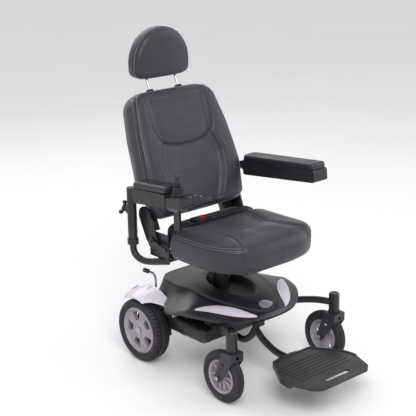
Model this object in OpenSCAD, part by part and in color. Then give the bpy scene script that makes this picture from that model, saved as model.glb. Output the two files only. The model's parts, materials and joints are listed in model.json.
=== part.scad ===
// Power wheelchair with a swivel seat, captain's backrest, headrest, flip-up armrests,
// right-hand joystick, rear drive wheels, front casters and a folding footplate.
// Millimetres, +Z up, the occupant faces -Y. The origin is on the floor, in the middle
// of the chair's outline. +X is the occupant's left.

/* [Drive wheels] */
// Diameter of a drive tyre
tyre_d = 254; // [230:1:270]
// Width of a drive tyre
tyre_w = 74; // [60:1:80]
// Diameter of the drive rim where the tyre seats
rim_d = 188; // [160:1:196]
// Distance between the middles of the two drive wheels
drive_track = 508; // [500:1:540]
// Distance of the drive axle behind the origin
axle_y = 285; // [270:1:300]
// Diameter of the drive shaft
shaft_d = 17; // [14:0.5:20]

/* [Casters] */
// Diameter of a caster tyre
caster_d = 200; // [170:1:206]
// Width of a caster tyre
caster_w = 44; // [36:1:50]
// Diameter of the caster rim where the tyre seats
caster_rim_d = 132; // [110:1:140]
// Distance between the two caster stems
caster_track = 540; // [520:1:560]
// Distance of the caster stems ahead of the origin
stem_ahead = 253; // [245:1:265]
// Distance of the caster axle behind its stem
caster_trail = 46; // [36:1:50]
// Diameter of the caster barrel
barrel_d = 42; // [36:1:48]
// Height of the caster barrel
barrel_h = 78; // [66:1:90]
// Diameter of the caster stem
stem_d = 20; // [16:0.5:24]

/* [Shroud] */
// Half width of the shroud at its flange
shroud_half_w = 275; // [262:1:282]
// Wall of the moulded shroud
shroud_wall = 4; // [3:0.5:5]
// Half width of the battery lid
lid_half_w = 158; // [140:1:162]
// Height of the lid's edge over the batteries
lid_top = 318; // [306:1:330]

/* [Batteries] */
// Width of each battery
battery_w = 128; // [110:1:130]
// Length of each battery
battery_l = 196; // [180:1:200]
// Height of each battery
battery_h = 160; // [140:1:160]

/* [Footplate] */
// Greatest half width of the footplate
plate_half_w = 179; // [150:1:186]
// Length of the footplate
plate_l = 280; // [240:1:286]
// Thickness of the footplate
plate_t = 10; // [8:0.5:12]
// Height of the footplate's top
plate_top = 125; // [118:1:130]
// Length of the hand slot
slot_l = 130; // [90:1:150]

/* [Seat] */
// Half width of the seat cushion
seat_half_w = 240; // [200:1:240]
// Underside of the seat cushion
seat_bottom = 457; // [448:1:460]
// Thickness of the seat cushion at its sides
seat_t = 103; // [90:1:112]
// Distance of the cushion's front ahead of the origin
seat_front = 238; // [210:1:245]
// Diameter of the inner seat post
post_d = 50; // [40:1:52]

/* [Backrest] */
// Lean of the backrest from upright
back_lean = 22.8; // [15:0.1:26]
// Distance of the recline pivot behind the origin
pivot_y = 235; // [230:1:240]
// Height of the recline pivot
pivot_z = 502; // [498:1:506]
// Half width of the backrest at its widest
back_half_w = 243; // [200:1:243]
// Length of the backrest's top edge from the pivot
back_top = 568; // [540:1:590]
// Distance of the wings' front face ahead of the pivot line
wing_front = 88; // [80:1:92]

/* [Headrest] */
// Half width of the headrest pad
head_half_w = 138; // [120:1:150]
// Thickness of the headrest pad
head_t = 85; // [70:1:90]
// Diameter of the headrest rods
rod_d = 10; // [8:0.5:12]
// Distance of each rod from the middle
rod_x = 72; // [60:1:80]

/* [Armrests] */
// Width of an armrest
arm_w = 75; // [60:1:75]
// Distance of an armrest's middle from the middle of the chair
arm_x = 283; // [283:1:290]
// Length of the left armrest
arm_l = 400; // [360:1:430]
// Slope of the armrests
arm_tilt = 6.3; // [4:0.1:7]
// Underside of an armrest at its back end
arm_bottom = 675; // [665:1:685]
// Height of the armrest's channel at its back end
arm_h = 58; // [50:1:60]
// Thickness of the arm pad
pad_t = 27; // [20:1:30]
// Diameter of the armrest's pivot pin
arm_pin_d = 10; // [8:0.5:12]
// Diameter of the armrest's inner upright
upright_d = 28; // [24:0.5:29]

/* [Joystick] */
// Distance of the stick from the middle of the chair
stick_x = 286; // [284:1:288]
// Distance of the stick behind the origin
stick_y = 12; // [8:1:16]
// Height of the stick's tip above its pivot
stick_l = 86; // [70:1:90]
// Diameter of the stick's grip
stick_d = 18; // [14:1:20]
// Diameter of a key
key_d = 11; // [8:0.5:12]
// Diameter of the charger socket
socket_d = 16; // [14:0.5:18]

/* [Hidden] */
fit = 0.05;
gap = 0.5;
fine = 64;
stem_y = -stem_ahead;
plate_y0 = -284;
wheel_z = tyre_d / 2;
caster_z = caster_d / 2;
caster_y = stem_y + caster_trail;
hub_x = drive_track / 2;
stem_x = caster_track / 2;
barrel_bottom = caster_d + 13;
barrel_top = barrel_bottom + barrel_h;
fork_in = caster_w / 2 + 3;
fork_wall = 4;
caster_axle_d = 10;
gear_out = hub_x - tyre_w / 2 - 5;
gear_w = 60;
gear_in = gear_out - gear_w;
drum_w = 18;
release_y = axle_y + 27;
release_z = wheel_z + 105;
shroud_cy = 105;
shroud_front = 300;
shroud_back = 205;
shroud_back_w = 208;
sleeve_out = post_d + 14;
sleeve_top = 396;
post_cy = 104;
seat_top = seat_bottom + seat_t;
pan_top = seat_bottom - gap;
pan_t = 12;
pan_bottom = pan_top - pan_t;
hinge_x = 232;
post_x = 262;
post_y = 323;
post_out = upright_d + 9;
bend_z = 438;
arm_back = 236;
arm_pivot = [0, 266, 712];
arm_ear = 6;
arm_tongue = 12;
arm_pivot_x = 268;
knob_z = 614;
foot_pin_y = -268;
foot_pin_z = plate_top - plate_t - 8;
foot_pin_d = 12;
head_z = 1087;
head_h = 198;
head_y = 412;
rod_y = -28;
origin_shift = (plate_l - plate_y0 - head_y - head_t) / 2;
stick_z = 743;
boot_d = 58;
belt_w = 46;
chrome = [0.78, 0.78, 0.80];
black = [0.16, 0.15, 0.17];
grey = [0.68, 0.66, 0.70];
white = [0.85, 0.83, 0.88];
skin_tone = [0.27, 0.26, 0.30];

// ---- shared shapes ----

// Puts the origin in the middle of the chair's length.
module centred() {
  translate([0, origin_shift, 0]) children();
}

// Draws its children as they are on the left, mirrored on the right.
module on_side(s) {
  if (s > 0) children();
  else mirror([1, 0, 0]) children();
}

// A bar of round section along X.
module bar_x(d, l, n = fine) {
  rotate([0, 90, 0]) cylinder(d = d, h = l, center = true, $fn = n);
}

// A box from its lowest to its highest corner.
module box(a, b) {
  translate(a) cube(b - a);
}

// A closed surface through rings of equal length, with a fan at each end.
module skin(rings) {
  m = len(rings[0]);
  n = len(rings);
  ends = [mean(rings[0]), mean(rings[n - 1])];
  sides = [for (k = [0 : n - 2]) for (i = [0 : m - 1]) each quad(k, k + 1, i, m)];
  low = [for (i = [0 : m - 1]) [n * m, i, (i + 1) % m]];
  high = [for (i = [0 : m - 1]) [n * m + 1, (n - 1) * m + (i + 1) % m, (n - 1) * m + i]];
  polyhedron([for (r = rings) each r, each ends], concat(sides, low, high), 8);
}

// A ring-shaped closed surface: the last ring joins the first.
module skin_loop(rings) {
  m = len(rings[0]);
  n = len(rings);
  sides = [for (k = [0 : n - 1]) for (i = [0 : m - 1]) each quad(k, (k + 1) % n, i, m)];
  polyhedron([for (r = rings) each r], sides, 8);
}

function quad(a, b, i, m) = let (j = (i + 1) % m) [
  [a * m + i, b * m + j, a * m + j], [a * m + i, b * m + i, b * m + j]];
function mean(r) = [for (c = [0 : 2]) sum([for (p = r) p[c]]) / len(r)];
function sum(v, i = 0) = i < len(v) ? v[i] + sum(v, i + 1) : 0;
function unit(v) = v / norm(v);
function clamp(v, a, b) = min(max(v, a), b);
function ease(t) = let (c = clamp(t, 0, 1)) c * c * (3 - 2 * c);
function pw(v, e) = sign(v) * pow(abs(v), e);
// Straight interpolation in a table of [key, value] rows.
function table(t, v) = lookup(v, t);

// Points of a smooth curve through p, k steps to a span.
function curve(p, k = 6) = [
  for (i = [0 : len(p) - 2]) for (j = [0 : k - 1]) spot(p, i, j / k), p[len(p) - 1]];
function spot(p, i, t) = let (
  a = p[max(i - 1, 0)], b = p[i], c = p[i + 1], d = p[min(i + 2, len(p) - 1)])
  b + 0.5 * t * ((c - a) + t * ((2 * a - 5 * b + 4 * c - d) + t * (3 * (b - c) + d - a)));

// A round bar swept along points.
module sweep(p, d, n = 20) {
  last = len(p) - 1;
  skin([for (i = [0 : last]) let (
    t = unit(p[min(i + 1, last)] - p[max(i - 1, 0)]),
    u = unit(cross(t, [0.31, 0.17, 0.94] + [0.9, 0, 0] * abs(t[2]))),
    v = cross(t, u))
    [for (a = [0 : n - 1]) p[i] + d / 2 * (cos(360 * a / n) * u + sin(360 * a / n) * v)]]);
}

// ---- drive wheels ----

function tread(half_w, r_in, r_out) = [
  [r_in, -half_w + 9], [r_in + 12, -half_w + 2], [r_out - 16, -half_w],
  [r_out - 7, -half_w + 3], [r_out - 2, -half_w + 10], [r_out, -half_w + 20],
  [r_out, half_w - 20], [r_out - 2, half_w - 10], [r_out - 7, half_w - 3],
  [r_out - 16, half_w], [r_in + 12, half_w - 2], [r_in, half_w - 9]];

module tyre() {
  groove = 4;
  blocks = 48;
  color(black) translate([hub_x, axle_y, wheel_z]) rotate([0, 90, 0]) difference() {
    rotate_extrude($fn = 96) polygon(tread(tyre_w / 2, rim_d / 2, tyre_d / 2));
    for (s = [-1, 1]) translate([0, 0, s * 11]) difference() {
      cylinder(d = tyre_d + 2, h = groove, center = true, $fn = 96);
      cylinder(d = tyre_d - 9, h = groove + 2, center = true, $fn = 96);
    }
    for (i = [0 : blocks - 1]) rotate(i * 360 / blocks)
      translate([tyre_d / 2 + 1, 0, 25]) rotate([20, 0, 0])
        cube([12, 3.4, tyre_w / 2 - 8], center = true);
    for (i = [0 : blocks - 1]) rotate((i + 0.5) * 360 / blocks)
      translate([tyre_d / 2 + 1, 0, -25]) rotate([-20, 0, 0])
        cube([12, 3.4, tyre_w / 2 - 8], center = true);
  }
}

// One window through the rim.
module rim_window() {
  linear_extrude(45) offset(3, $fn = 24) polygon([[43, -10], [72, -20], [72, 20], [43, 10]]);
}

module rim() {
  r = rim_d / 2;
  half = tyre_w / 2 - 9;
  color(grey) translate([hub_x, axle_y, wheel_z]) rotate([0, 90, 0]) difference() {
    rotate_extrude($fn = 96) polygon([
      [shaft_d / 2 + fit, -24], [24, -24], [24, 4], [r - 12, 4], [r - 8, -half],
      [r, -half], [r, half], [r - 7, half + 5], [r - 11, half - 1], [r - 16, half - 8],
      [30, half - 5], [24, half - 3], [shaft_d / 2 + fit, half - 3]]);
    for (i = [0 : 4]) rotate(i * 72 + 18) translate([0, 0, -2]) rim_window();
  }
}

module drive_shaft() {
  end = hub_x + tyre_w / 2 - 12;
  from = gear_in + 6;
  color(chrome) translate([0, axle_y, wheel_z]) {
    translate([from, 0, 0]) rotate([0, 90, 0]) cylinder(d = shaft_d, h = end - from, $fn = fine);
    translate([end, 0, 0]) rotate([0, 90, 0]) cylinder(d = 30, h = 5, $fn = 6);
  }
}

module gear_motor() {
  x = gear_in + 28;
  z = wheel_z + 45;
  r = 36;
  front = -2;
  color(black) difference() {
    union() {
      box([gear_in, axle_y - 48, wheel_z - 44], [gear_out, axle_y + 46, wheel_z + 50]);
      box([gear_in, axle_y - 48, wheel_z + 40], [gear_out, axle_y + 10, z + r + 4]);
      translate([x, axle_y - 40, z]) rotate([90, 0, 0])
        cylinder(r = r, h = axle_y - 40 - front, $fn = fine);
      translate([x, 112, z]) rotate([90, 0, 0]) cylinder(r = r + 1.5, h = 20, $fn = fine);
      translate([x, front + 0.5, z]) rotate([90, 0, 0]) cylinder(r1 = r, r2 = r - 12, h = 28, $fn = fine);
      box([x - 8, 92, z + r - 4], [x + 8, 112, z + r + 9]);
      translate([gear_in + 14, release_y, wheel_z + 46])
        cylinder(d = 32, h = release_z - wheel_z - 46, $fn = fine);
      // brake drum inside the rim
      translate([gear_out - 2, axle_y, wheel_z]) rotate([0, 90, 0])
        cylinder(d = rim_d - 32, h = drum_w, $fn = 96);
    }
    translate([gear_in + 14, release_y, wheel_z + 52]) cylinder(d = 9 + 2 * fit, h = 100, $fn = fine);
    translate([gear_in + 5, axle_y, wheel_z]) rotate([0, 90, 0])
      cylinder(d = shaft_d + 2 * fit, h = gear_w + drum_w, $fn = fine);
  }
}

// ---- chassis ----

tray_half = battery_w + 8;
tray_y0 = 48;
tray_y1 = tray_y0 + battery_l + 16;
tray_z = 104;
bridge_z = 274;

module frame() {
  rail = 30;
  rail_z = 214;
  nose_y = -70;
  in = tray_half - 4;
  color(black) difference() {
    union() {
      // battery tray
      box([-tray_half, tray_y0, tray_z], [tray_half, tray_y1, tray_z + 60]);
      for (s = [-1, 1]) on_side(s) {
        // long rail, tray wall, gearbox bracket and post for the seat bridge
        box([in, nose_y, rail_z], [in + rail / 2, 336, rail_z + rail]);
        box([in, tray_y0, tray_z], [tray_half + 4, axle_y + 40, rail_z + 2]);
        box([in, axle_y - 40, wheel_z - 23], [gear_in, axle_y + 40, wheel_z + 44]);
        box([in - 4, 66, rail_z + rail - 2], [tray_half, 142, bridge_z + 6]);
      }
      box([-tray_half, nose_y, rail_z], [tray_half, nose_y + 20, rail_z + rail]);
      box([-16, -124, rail_z + 0.5], [16, nose_y + 4, rail_z + rail - 4]);
      box([-tray_half, 66, bridge_z], [tray_half, 142, bridge_z + 12]);
      box([-tray_half, 316, rail_z], [tray_half, 336, rail_z + rail]);
    }
    box([-in, tray_y0 + 4, tray_z + 4], [in, tray_y1 - 4, bridge_z - 1]);
    translate([0, post_cy, bridge_z - 10]) cylinder(d = sleeve_out, h = 40, $fn = fine);
  }
}

module battery() {
  x0 = 3;
  y0 = tray_y0 + 8;
  z0 = tray_z + 4;
  color([0.22, 0.23, 0.25]) difference() {
    union() {
      box([x0, y0, z0], [x0 + battery_w, y0 + battery_l, z0 + battery_h]);
      for (y = [30, battery_l - 30])
        translate([x0 + 24, y0 + y, z0 + battery_h - 1]) cylinder(d = 14, h = 5, $fn = 32);
    }
    box([x0 - 1, tray_y0, z0 + battery_h - 40], [x0 + 4, tray_y1, z0 + battery_h - 34]);
  }
}

module caster_arm() {
  bar = [[tray_half + 4, -44, 229], [160, -72, 234], [205, -128, 244], [236, -190, 254],
    [stem_x - 14, stem_y + 4, barrel_top - 34]];
  color(black) difference() {
    union() {
      translate([stem_x, stem_y, barrel_bottom]) cylinder(d = barrel_d, h = barrel_h - 4, $fn = fine);
      translate([stem_x, stem_y, barrel_top - 4])
        cylinder(d1 = barrel_d, d2 = barrel_d - 10, h = 5, $fn = fine);
      translate([stem_x, stem_y, barrel_bottom]) cylinder(d = barrel_d + 4, h = 6, $fn = fine);
      sweep(curve(bar, 5), 27, 24);
    }
    translate([stem_x, stem_y, barrel_bottom - 1])
      cylinder(d = stem_d + 2 * fit, h = barrel_h - 9, $fn = fine);
    box([100, -110, 200], [tray_half + 11, -20, 300]);
  }
}

// ---- shroud, lid and trim ----

// Distance behind the shroud's widest point, going round the back half.
function rear_y(a, back) = let (u = (min(a, 360 - a) - 90) / 90) back * (1 - pow(1 - u, 1.8));
function rear_x(y, back) = pow(max(0, 1 - pow(y / back, 5)), 0.2);
function rim_out(a) = let (c = cos(a), s = sin(a), y = rear_y(a, shroud_back),
  w = shroud_back_w + (shroud_half_w - shroud_back_w) * (1 - ease(y / 110)))
  c > 0 ? [shroud_half_w * pw(s, 2 / 2.3), shroud_cy - shroud_front * pw(c, 2 / 2.3)]
        : [sign(s) * w * rear_x(y, shroud_back), shroud_cy + y];
function lid_out(a) = let (c = cos(a), s = sin(a), back = shroud_back - 8, y = rear_y(a, back),
  w = lid_half_w + 20 * ease(y / 60))
  c > 0 ? [lid_half_w * pw(s, 2 / 1.9), shroud_cy - (shroud_front - 14) * pw(c, 2 / 1.9)]
        : [sign(s) * w * rear_x(y, back), shroud_cy + y];
// Height of the flange and of the lid's edge along the chair.
function rim_height(y) = 262 + 18 * ease((y + 195) / 150) - 16 * ease((y - 10) / 100);
function lid_height(y) = table([[-195, 268], [-150, 280], [-100, 291], [-40, 300],
  [60, lid_top - 8], [150, lid_top], [300, lid_top + 2]], y);
// A point of the shroud's outside: s is 0 on the flange and 1 at the lid's edge.
function side_at(a, s, lift = 0) = let (
  p = rim_out(a), q = lid_out(a), y = p[1] + (q[1] - p[1]) * s,
  z0 = rim_height(p[1]), z1 = lid_height(q[1]))
  [p[0] + (q[0] - p[0]) * s, y, z0 + (z1 - z0) * (0.35 * s + 0.65 * s * s) + 5 * sin(180 * s) + lift];
turns = 96;
function around() = [for (i = [0 : turns - 1]) 360 * i / turns];
function shrink(p, w, dz) = let (v = [p[0], p[1] - shroud_cy], n = norm(v))
  [v[0] * (n - w) / n, shroud_cy + v[1] * (n - w) / n, p[2] + dz];
function grow(p, w) = shrink(p, -w, 0);

module shroud() {
  steps = [0, 0.15, 0.35, 0.6, 0.85, 1];
  outer = [for (s = steps) [for (a = around()) side_at(a, s)]];
  inner = [for (k = [5 : -1 : 0])
    [for (a = around()) shrink(side_at(a, steps[k]), shroud_wall, -shroud_wall)]];
  brim = [
    [for (a = around()) shrink(side_at(a, 0), shroud_wall, -14)],
    [for (a = around()) grow(side_at(a, 0, -13), 3)],
    [for (a = around()) grow(side_at(a, 0, -4), 5)]];
  ledge = [
    [for (a = around()) shrink(side_at(a, 1), 16, -shroud_wall)],
    [for (a = around()) shrink(side_at(a, 1), 16, -2 * shroud_wall)]];
  color(black) skin_loop(concat(outer, ledge, [inner[0], inner[2], inner[4], inner[5]], brim));
}

recess_cy = 45;
module battery_lid() {
  hole = sleeve_out / 2 + 2.5;
  function well(a, k, z) = let (p = lid_out(a), t = atan2(p[0], recess_cy - p[1]))
    [78 * k * sin(t), recess_cy - (cos(t) > 0 ? 128 : 124) * k * cos(t), z];
  function mouth(a, z) = let (p = lid_out(a), t = atan2(p[0], post_cy - p[1]))
    [hole * sin(t), post_cy - hole * cos(t), z];
  function top(a, k) = let (p = lid_out(a), w = well(a, 1, 0), x = p[0] + (w[0] - p[0]) * k,
    y = p[1] + (w[1] - p[1]) * k)
    [x, y, lid_height(y) + 10 * ease(k * 5) + 3 * sin(90 * k)];
  floor_z = 296;
  color(black) difference() {
    skin_loop([
      [for (a = around()) shrink(concat(lid_out(a), [lid_height(lid_out(a)[1]) + 0.3]), 2, 0)],
      [for (a = around()) shrink(concat(lid_out(a), [lid_height(lid_out(a)[1]) + 8]), 4, 0)],
      [for (a = around()) top(a, 0.12)],
      [for (a = around()) top(a, 0.4)],
      [for (a = around()) top(a, 0.75)],
      [for (a = around()) top(a, 0.97)],
      [for (a = around()) well(a, 0.97, max(floor_z + 3, top(a, 1)[2] - 4))],
      [for (a = around()) well(a, 0.9, floor_z + 2)],
      [for (a = around()) well(a, 0.8, floor_z)],
      [for (a = around()) mouth(a, floor_z)],
      [for (a = around()) mouth(a, floor_z - 4)],
      [for (a = around()) well(a, 0.9, floor_z - 4)],
      [for (a = around()) top(a, 0.9) - [0, 0, 6]],
      [for (a = around()) top(a, 0.4) - [0, 0, 7]],
      [for (a = around()) shrink(concat(lid_out(a), [lid_height(lid_out(a)[1]) + 0.3]), 12, 0)]]);
    translate([0, -148, 285]) rotate([10, 0, 0]) resize([62, 46, 40]) cylinder(d = 60, h = 40, $fn = 64);
  }
}

module badge() {
  color(grey) translate([0, -148, 285.5]) rotate([10, 0, 0]) intersection() {
    resize([60, 44, 0]) cylinder(d = 60, h = 12, $fn = 64);
    translate([0, 0, -66]) sphere(r = 78, $fn = 96);
  }
}

module accent() {
  n = 24;
  function edge(i, lift) = let (t = i / n, a = 16 + 54 * t, w = pow(sin(180 * clamp(t, 0.004, 0.996)), 0.7),
    low = 0.24 + 0.12 * w, high = 0.3 + 0.6 * w)
    [for (k = [0 : 4]) side_at(a, low + (high - low) * k / 4, lift + 1.2 * sin(180 * k / 4))];
  color(white) skin([for (i = [0 : n]) concat(edge(i, 2.5), [for (k = [4 : -1 : 0]) edge(i, -1.5)[k]])]);
}

module fender() {
  r = tyre_d / 2;
  inner = shroud_back_w - 1;
  outer = hub_x + tyre_w / 2 + 2;
  color(white) difference() {
    translate([0, axle_y, wheel_z]) rotate([0, 90, 0]) rotate([0, 0, 148])
      rotate_extrude(angle = 93, $fn = 96) polygon([
        [r + 10, outer], [r + 17, outer - 2], [r + 28, outer - 20], [r + 38, outer - 46], [r + 46, inner],
        [r + 42, inner], [r + 34, outer - 46], [r + 24.5, outer - 21], [r + 14, outer - 5],
        [r + 10, outer - 4]]);
    // tapered ends
    translate([0, axle_y, 100]) linear_extrude(300) {
      polygon([[outer + 7, -35], [inner + 15, -125], [inner + 15, -185], [outer + 37, -185],
        [outer + 37, -35]]);
      polygon([[inner - 2, 15], [inner + 63, 87], [inner - 2, 87]]);
    }
  }
}

module seat_tube() {
  color(grey) difference() {
    union() {
      translate([0, post_cy, 272]) cylinder(d = sleeve_out, h = sleeve_top - 272, $fn = fine);
      translate([0, post_cy, bridge_z + 12]) cylinder(d = sleeve_out + 40, h = 4, $fn = fine);
      translate([0, post_cy, sleeve_top - 24]) cylinder(d = sleeve_out + 12, h = 24, $fn = fine);
      translate([0, post_cy - sleeve_out / 2 - 16, 350]) rotate([-90, 0, 0])
        cylinder(d = 20, h = 14, $fn = 6);
      translate([0, post_cy - sleeve_out / 2 - 4, 350]) rotate([-90, 0, 0])
        cylinder(d = 12, h = 10, $fn = 32);
    }
    translate([0, post_cy, 262]) cylinder(d = post_d + 2 * fit, h = 200, $fn = fine);
  }
}

// ---- freewheel levers ----

module freewheel() {
  x = gear_in + 14;
  y = release_y;
  z = wheel_z + 49;
  color(chrome) {
    translate([x, y, release_z + gap]) cylinder(d = 18, h = 9, $fn = fine);
    sweep(curve([[x, y, z + 6], [x, y, z + 86], [x, y, z + 110], [x + 1, y + 1, z + 138],
      [x + 8, y + 5, z + 156],
      [x + 24, y + 14, z + 166]], 5), 9, 14);
    translate([x + 22, y + 13, z + 165]) rotate([0, 66, 30]) cylinder(d = 17, h = 25, $fn = 32);
  }
}

// ---- casters ----

module fork() {
  side = [[-30, barrel_bottom - 4], [24, barrel_bottom - 4], [32, barrel_bottom - 26],
    [caster_trail + 18, caster_z + 4], [caster_trail + 12, caster_z - 14],
    [caster_trail - 4, caster_z - 18], [caster_trail - 18, caster_z - 4], [-30, barrel_bottom - 34]];
  color(black) translate([stem_x, stem_y, 0]) difference() {
    union() {
      for (s = [-1, 1]) on_side(s)
        translate([fork_in + fork_wall, 0, 0]) rotate([90, 0, -90]) mirror([1, 0, 0])
          linear_extrude(fork_wall) offset(4, $fn = 32) offset(-4) polygon(side);
      box([-fork_in - fork_wall, -30, barrel_bottom - 6], [fork_in + fork_wall, 24, barrel_bottom - 1]);
      box([-fork_in - fork_wall, -30, barrel_bottom - 34], [fork_in + fork_wall, -26, barrel_bottom - 3]);
      translate([0, 0, barrel_bottom - 3]) cylinder(d = stem_d, h = barrel_h - 9, $fn = fine);
    }
    translate([0, caster_trail, caster_z]) bar_x(caster_axle_d, 3 * caster_w);
    for (k = [0.35, 0.6, 0.82])
      translate([0, 2 + k * (caster_trail - 2),
        barrel_bottom - 24 + k * (caster_z - barrel_bottom + 24) * 0.9])
          bar_x(k < 0.5 ? 13 : 8, 3 * caster_w);
    translate([0, -20, barrel_bottom - 20]) rotate([90, 0, 0]) cylinder(d = 14, h = 20, $fn = 32);
  }
}

module caster_tyre() {
  r = caster_d / 2;
  color(black) translate([stem_x, caster_y, caster_z]) rotate([0, 90, 0]) rotate_extrude($fn = 96) polygon([
    [caster_rim_d / 2, -15], [r - 22, -22 * caster_w / 44], [r - 9, -19], [r - 4, -14], [r - 4, -12],
      [r - 1, -11],
    [r - 1, -7], [r - 3.5, -6.5], [r - 3.5, -5], [r, -4.5], [r, 4.5], [r - 3.5, 5], [r - 3.5, 6.5],
      [r - 1, 7],
    [r - 1, 11], [r - 4, 12], [r - 4, 14], [r - 9, 19], [r - 22, 22 * caster_w / 44],
      [caster_rim_d / 2, 15]]);
}

module caster_rim() {
  r = caster_rim_d / 2;
  bore = caster_axle_d / 2 + fit;
  color(grey) translate([stem_x, caster_y, caster_z]) rotate([0, 90, 0]) {
    rotate_extrude($fn = 96) polygon([[r - 10, -14], [r - 4, -19], [r, -15], [r, 15], [r - 4, 19],
      [r - 10, 14]]);
    difference() {
      union() {
        cylinder(d = 40, h = 40, center = true, $fn = fine);
        linear_extrude(18, center = true) for (i = [0 : 4]) rotate(i * 72) for (s = [-1, 1])
          translate([11, s * 8]) rotate(s * 6) translate([0, -3.5]) square([r - 18, 7]);
      }
      cylinder(r = bore, h = 80, center = true, $fn = fine);
    }
  }
}

module caster_axle() {
  half = fork_in + fork_wall;
  color(chrome) translate([stem_x, caster_y, caster_z]) {
    bar_x(caster_axle_d, 2 * half);
    for (s = [-1, 1]) translate([s * (half + 3.5), 0, 0]) bar_x(18, 7, 6);
    for (s = [-1, 1]) translate([s * (half - fork_wall - 1.4), 0, 0]) bar_x(18, 2.6);
  }
}

// ---- footplate and its hanger ----

module foot_hanger() {
  color(black) difference() {
    union() {
      box([-15, -128, 192], [15, -121, 214]);
      box([-15, -128, 206], [15, -90, 214]);
      sweep(curve([[0, -116, 211], [0, -98, 182], [0, -66, 130], [0, -27, 104], [0, 10, 104],
        [0, tray_y0 + 4, 118]], 5), 27, 20);
      sweep(curve([[0, -92, 172], [0, -129, 142], [0, -184, 116], [0, -225, foot_pin_z + 1],
        [0, foot_pin_y + 10, foot_pin_z]], 6), 27, 24);
      translate([0, foot_pin_y, foot_pin_z]) bar_x(28, 60);
      translate([0, foot_pin_y, foot_pin_z]) bar_x(foot_pin_d, 112);
      for (s = [-1, 1]) translate([s * 58, foot_pin_y, foot_pin_z]) bar_x(20, 5);
    }
    box([-30, tray_y0, 60], [30, tray_y0 + 60, 150]);
    box([-30, -140, 214], [30, -60, 240]);
  }
}

module plate_outline(d = 0) {
  h = plate_half_w;
  f = plate_y0 - plate_l;
  offset(r = 14 - d, $fn = 48) offset(delta = -14) polygon([
    [-97, plate_y0], [97, plate_y0], [h - 6, plate_y0 - 0.42 * plate_l], [h, plate_y0 - 0.58 * plate_l],
    [h - 34, f + 24], [h - 62, f + 2], [-h + 62, f + 2], [-h + 34, f + 24],
    [-h, plate_y0 - 0.58 * plate_l], [-h + 6, plate_y0 - 0.42 * plate_l]]);
}

module footplate() {
  low = plate_top - plate_t;
  slot_y = plate_y0 - plate_l + 46;
  color(black) difference() {
    union() {
      translate([0, 0, low]) linear_extrude(plate_t) plate_outline();
      // raised edge
      translate([0, 0, low - 8]) linear_extrude(plate_t + 11) difference() {
        plate_outline();
        plate_outline(7);
        translate([-400, -900]) square([800, 900 + plate_y0 - 0.62 * plate_l]);
      }
      // tread ribs
      for (k = [0 : 6]) translate([0, plate_y0 - 60 - k * 20, plate_top])
        cube([2 * (plate_half_w - 44), 6, 3], center = true);
      // hinge lugs
      for (s = [-1, 1]) on_side(s) difference() {
        union() {
          box([31, plate_y0 - 20, foot_pin_z - 12], [47, foot_pin_y, low + 2]);
          translate([39, foot_pin_y, foot_pin_z]) bar_x(24, 16);
        }
      }
    }
    translate([0, foot_pin_y, foot_pin_z]) bar_x(foot_pin_d + 2 * fit, 120);
    hull() for (s = [-1, 1]) translate([s * (slot_l - 26) / 2, slot_y, low - 20])
      cylinder(d = 26, h = 60, $fn = 32);
  }
}

// ---- seat ----

module seat_post() {
  color(chrome) union() {
    translate([0, post_cy, 300]) cylinder(d = post_d, h = pan_bottom - 300 - 1, $fn = fine);
    translate([0, post_cy, sleeve_top + 1]) cylinder(d = post_d + 16, h = 7, $fn = fine);
  }
}

// The armrest's inner upright with the bend that brings it forward under the seat.
module bent_upright() {
  bend = [[post_x, post_y, 500], [post_x, post_y, bend_z + 24], [post_x - 1, post_y - 7, bend_z + 2],
    [post_x - 5, post_y - 25, bend_z - 14], [post_x - 12, post_y - 53, bend_z - 21],
    [post_x - 22, post_y - 88, bend_z - 18], [post_x - 34, post_y - 128, bend_z - 10],
    [post_x - 50, post_y - 158, bend_z - 6]];
  translate([post_x, post_y, 474]) cylinder(d = upright_d, h = 166, $fn = fine);
  sweep(curve(bend, 5), upright_d - 1, 24);
}

// The pan's outline, its front corners cut off where the cushion is round.
module pan_outline(inset) {
  offset(delta = -inset)
    polygon([[-192, 216], [192, 216], [192, -60], [120, -180], [-120, -180], [-192, -60]]);
}

module seat_frame() {
  hinge_y0 = 150;
  color(black) difference() {
    union() {
      translate([0, 0, pan_bottom]) linear_extrude(pan_t) pan_outline(0);
      // swivel plates
      translate([0, post_cy, pan_bottom - 14]) cylinder(d = 190, h = 15, $fn = fine);
      translate([0, post_cy, pan_bottom - 26]) cylinder(d = 120, h = 13, $fn = fine);
      // cross tube for the armrests' uprights
      box([-212, 168, 425], [212, 202, pan_bottom + 1]);
      for (s = [-1, 1]) on_side(s) {
        bent_upright();
        // recline hinge housing and its pin
        translate([hinge_x + 1, pivot_y, pivot_z]) bar_x(12, 28);
        box([hinge_x - 14, hinge_y0, 438], [hinge_x - 8, pivot_y + 30, 540]);
        box([188, hinge_y0, 436], [hinge_x - 8, pivot_y - 20, 446]);
      }
    }
    translate([0, 0, pan_bottom + 3]) linear_extrude(pan_t) pan_outline(12);
    translate([0, post_cy, pan_bottom - 30]) cylinder(d = post_d, h = 29, $fn = fine);
  }
}

seat_cy = 0;
function seat_out(a, k = 1) = let (c = cos(a), s = sin(a),
  y = c > 0 ? -seat_front * pw(c, 2 / 3.4) : 226 * pow(-c, 2 / 7),
  x = (c > 0 ? seat_half_w : seat_half_w - 42 * ease((y - 112) / 12)) * pw(s, c > 0 ? 2 / 3.4 : 2 / 7))
  [x * k, seat_cy + y * k];
module seat_cushion() {
  rows = [[0, 0.93], [4, 0.975], [14, 0.997], [30, 1], [seat_t - 22, 1], [seat_t - 8, 0.985],
    [seat_t - 1, 0.95], [seat_t + 3, 0.86], [seat_t + 4, 0.5]];
  color(skin_tone) skin([for (r = rows) [for (a = around())
    concat(seat_out(a, r[1]), [seat_bottom + r[0] + 8 * ease(-seat_out(a)[1] / 240)])]]);
}

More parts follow.
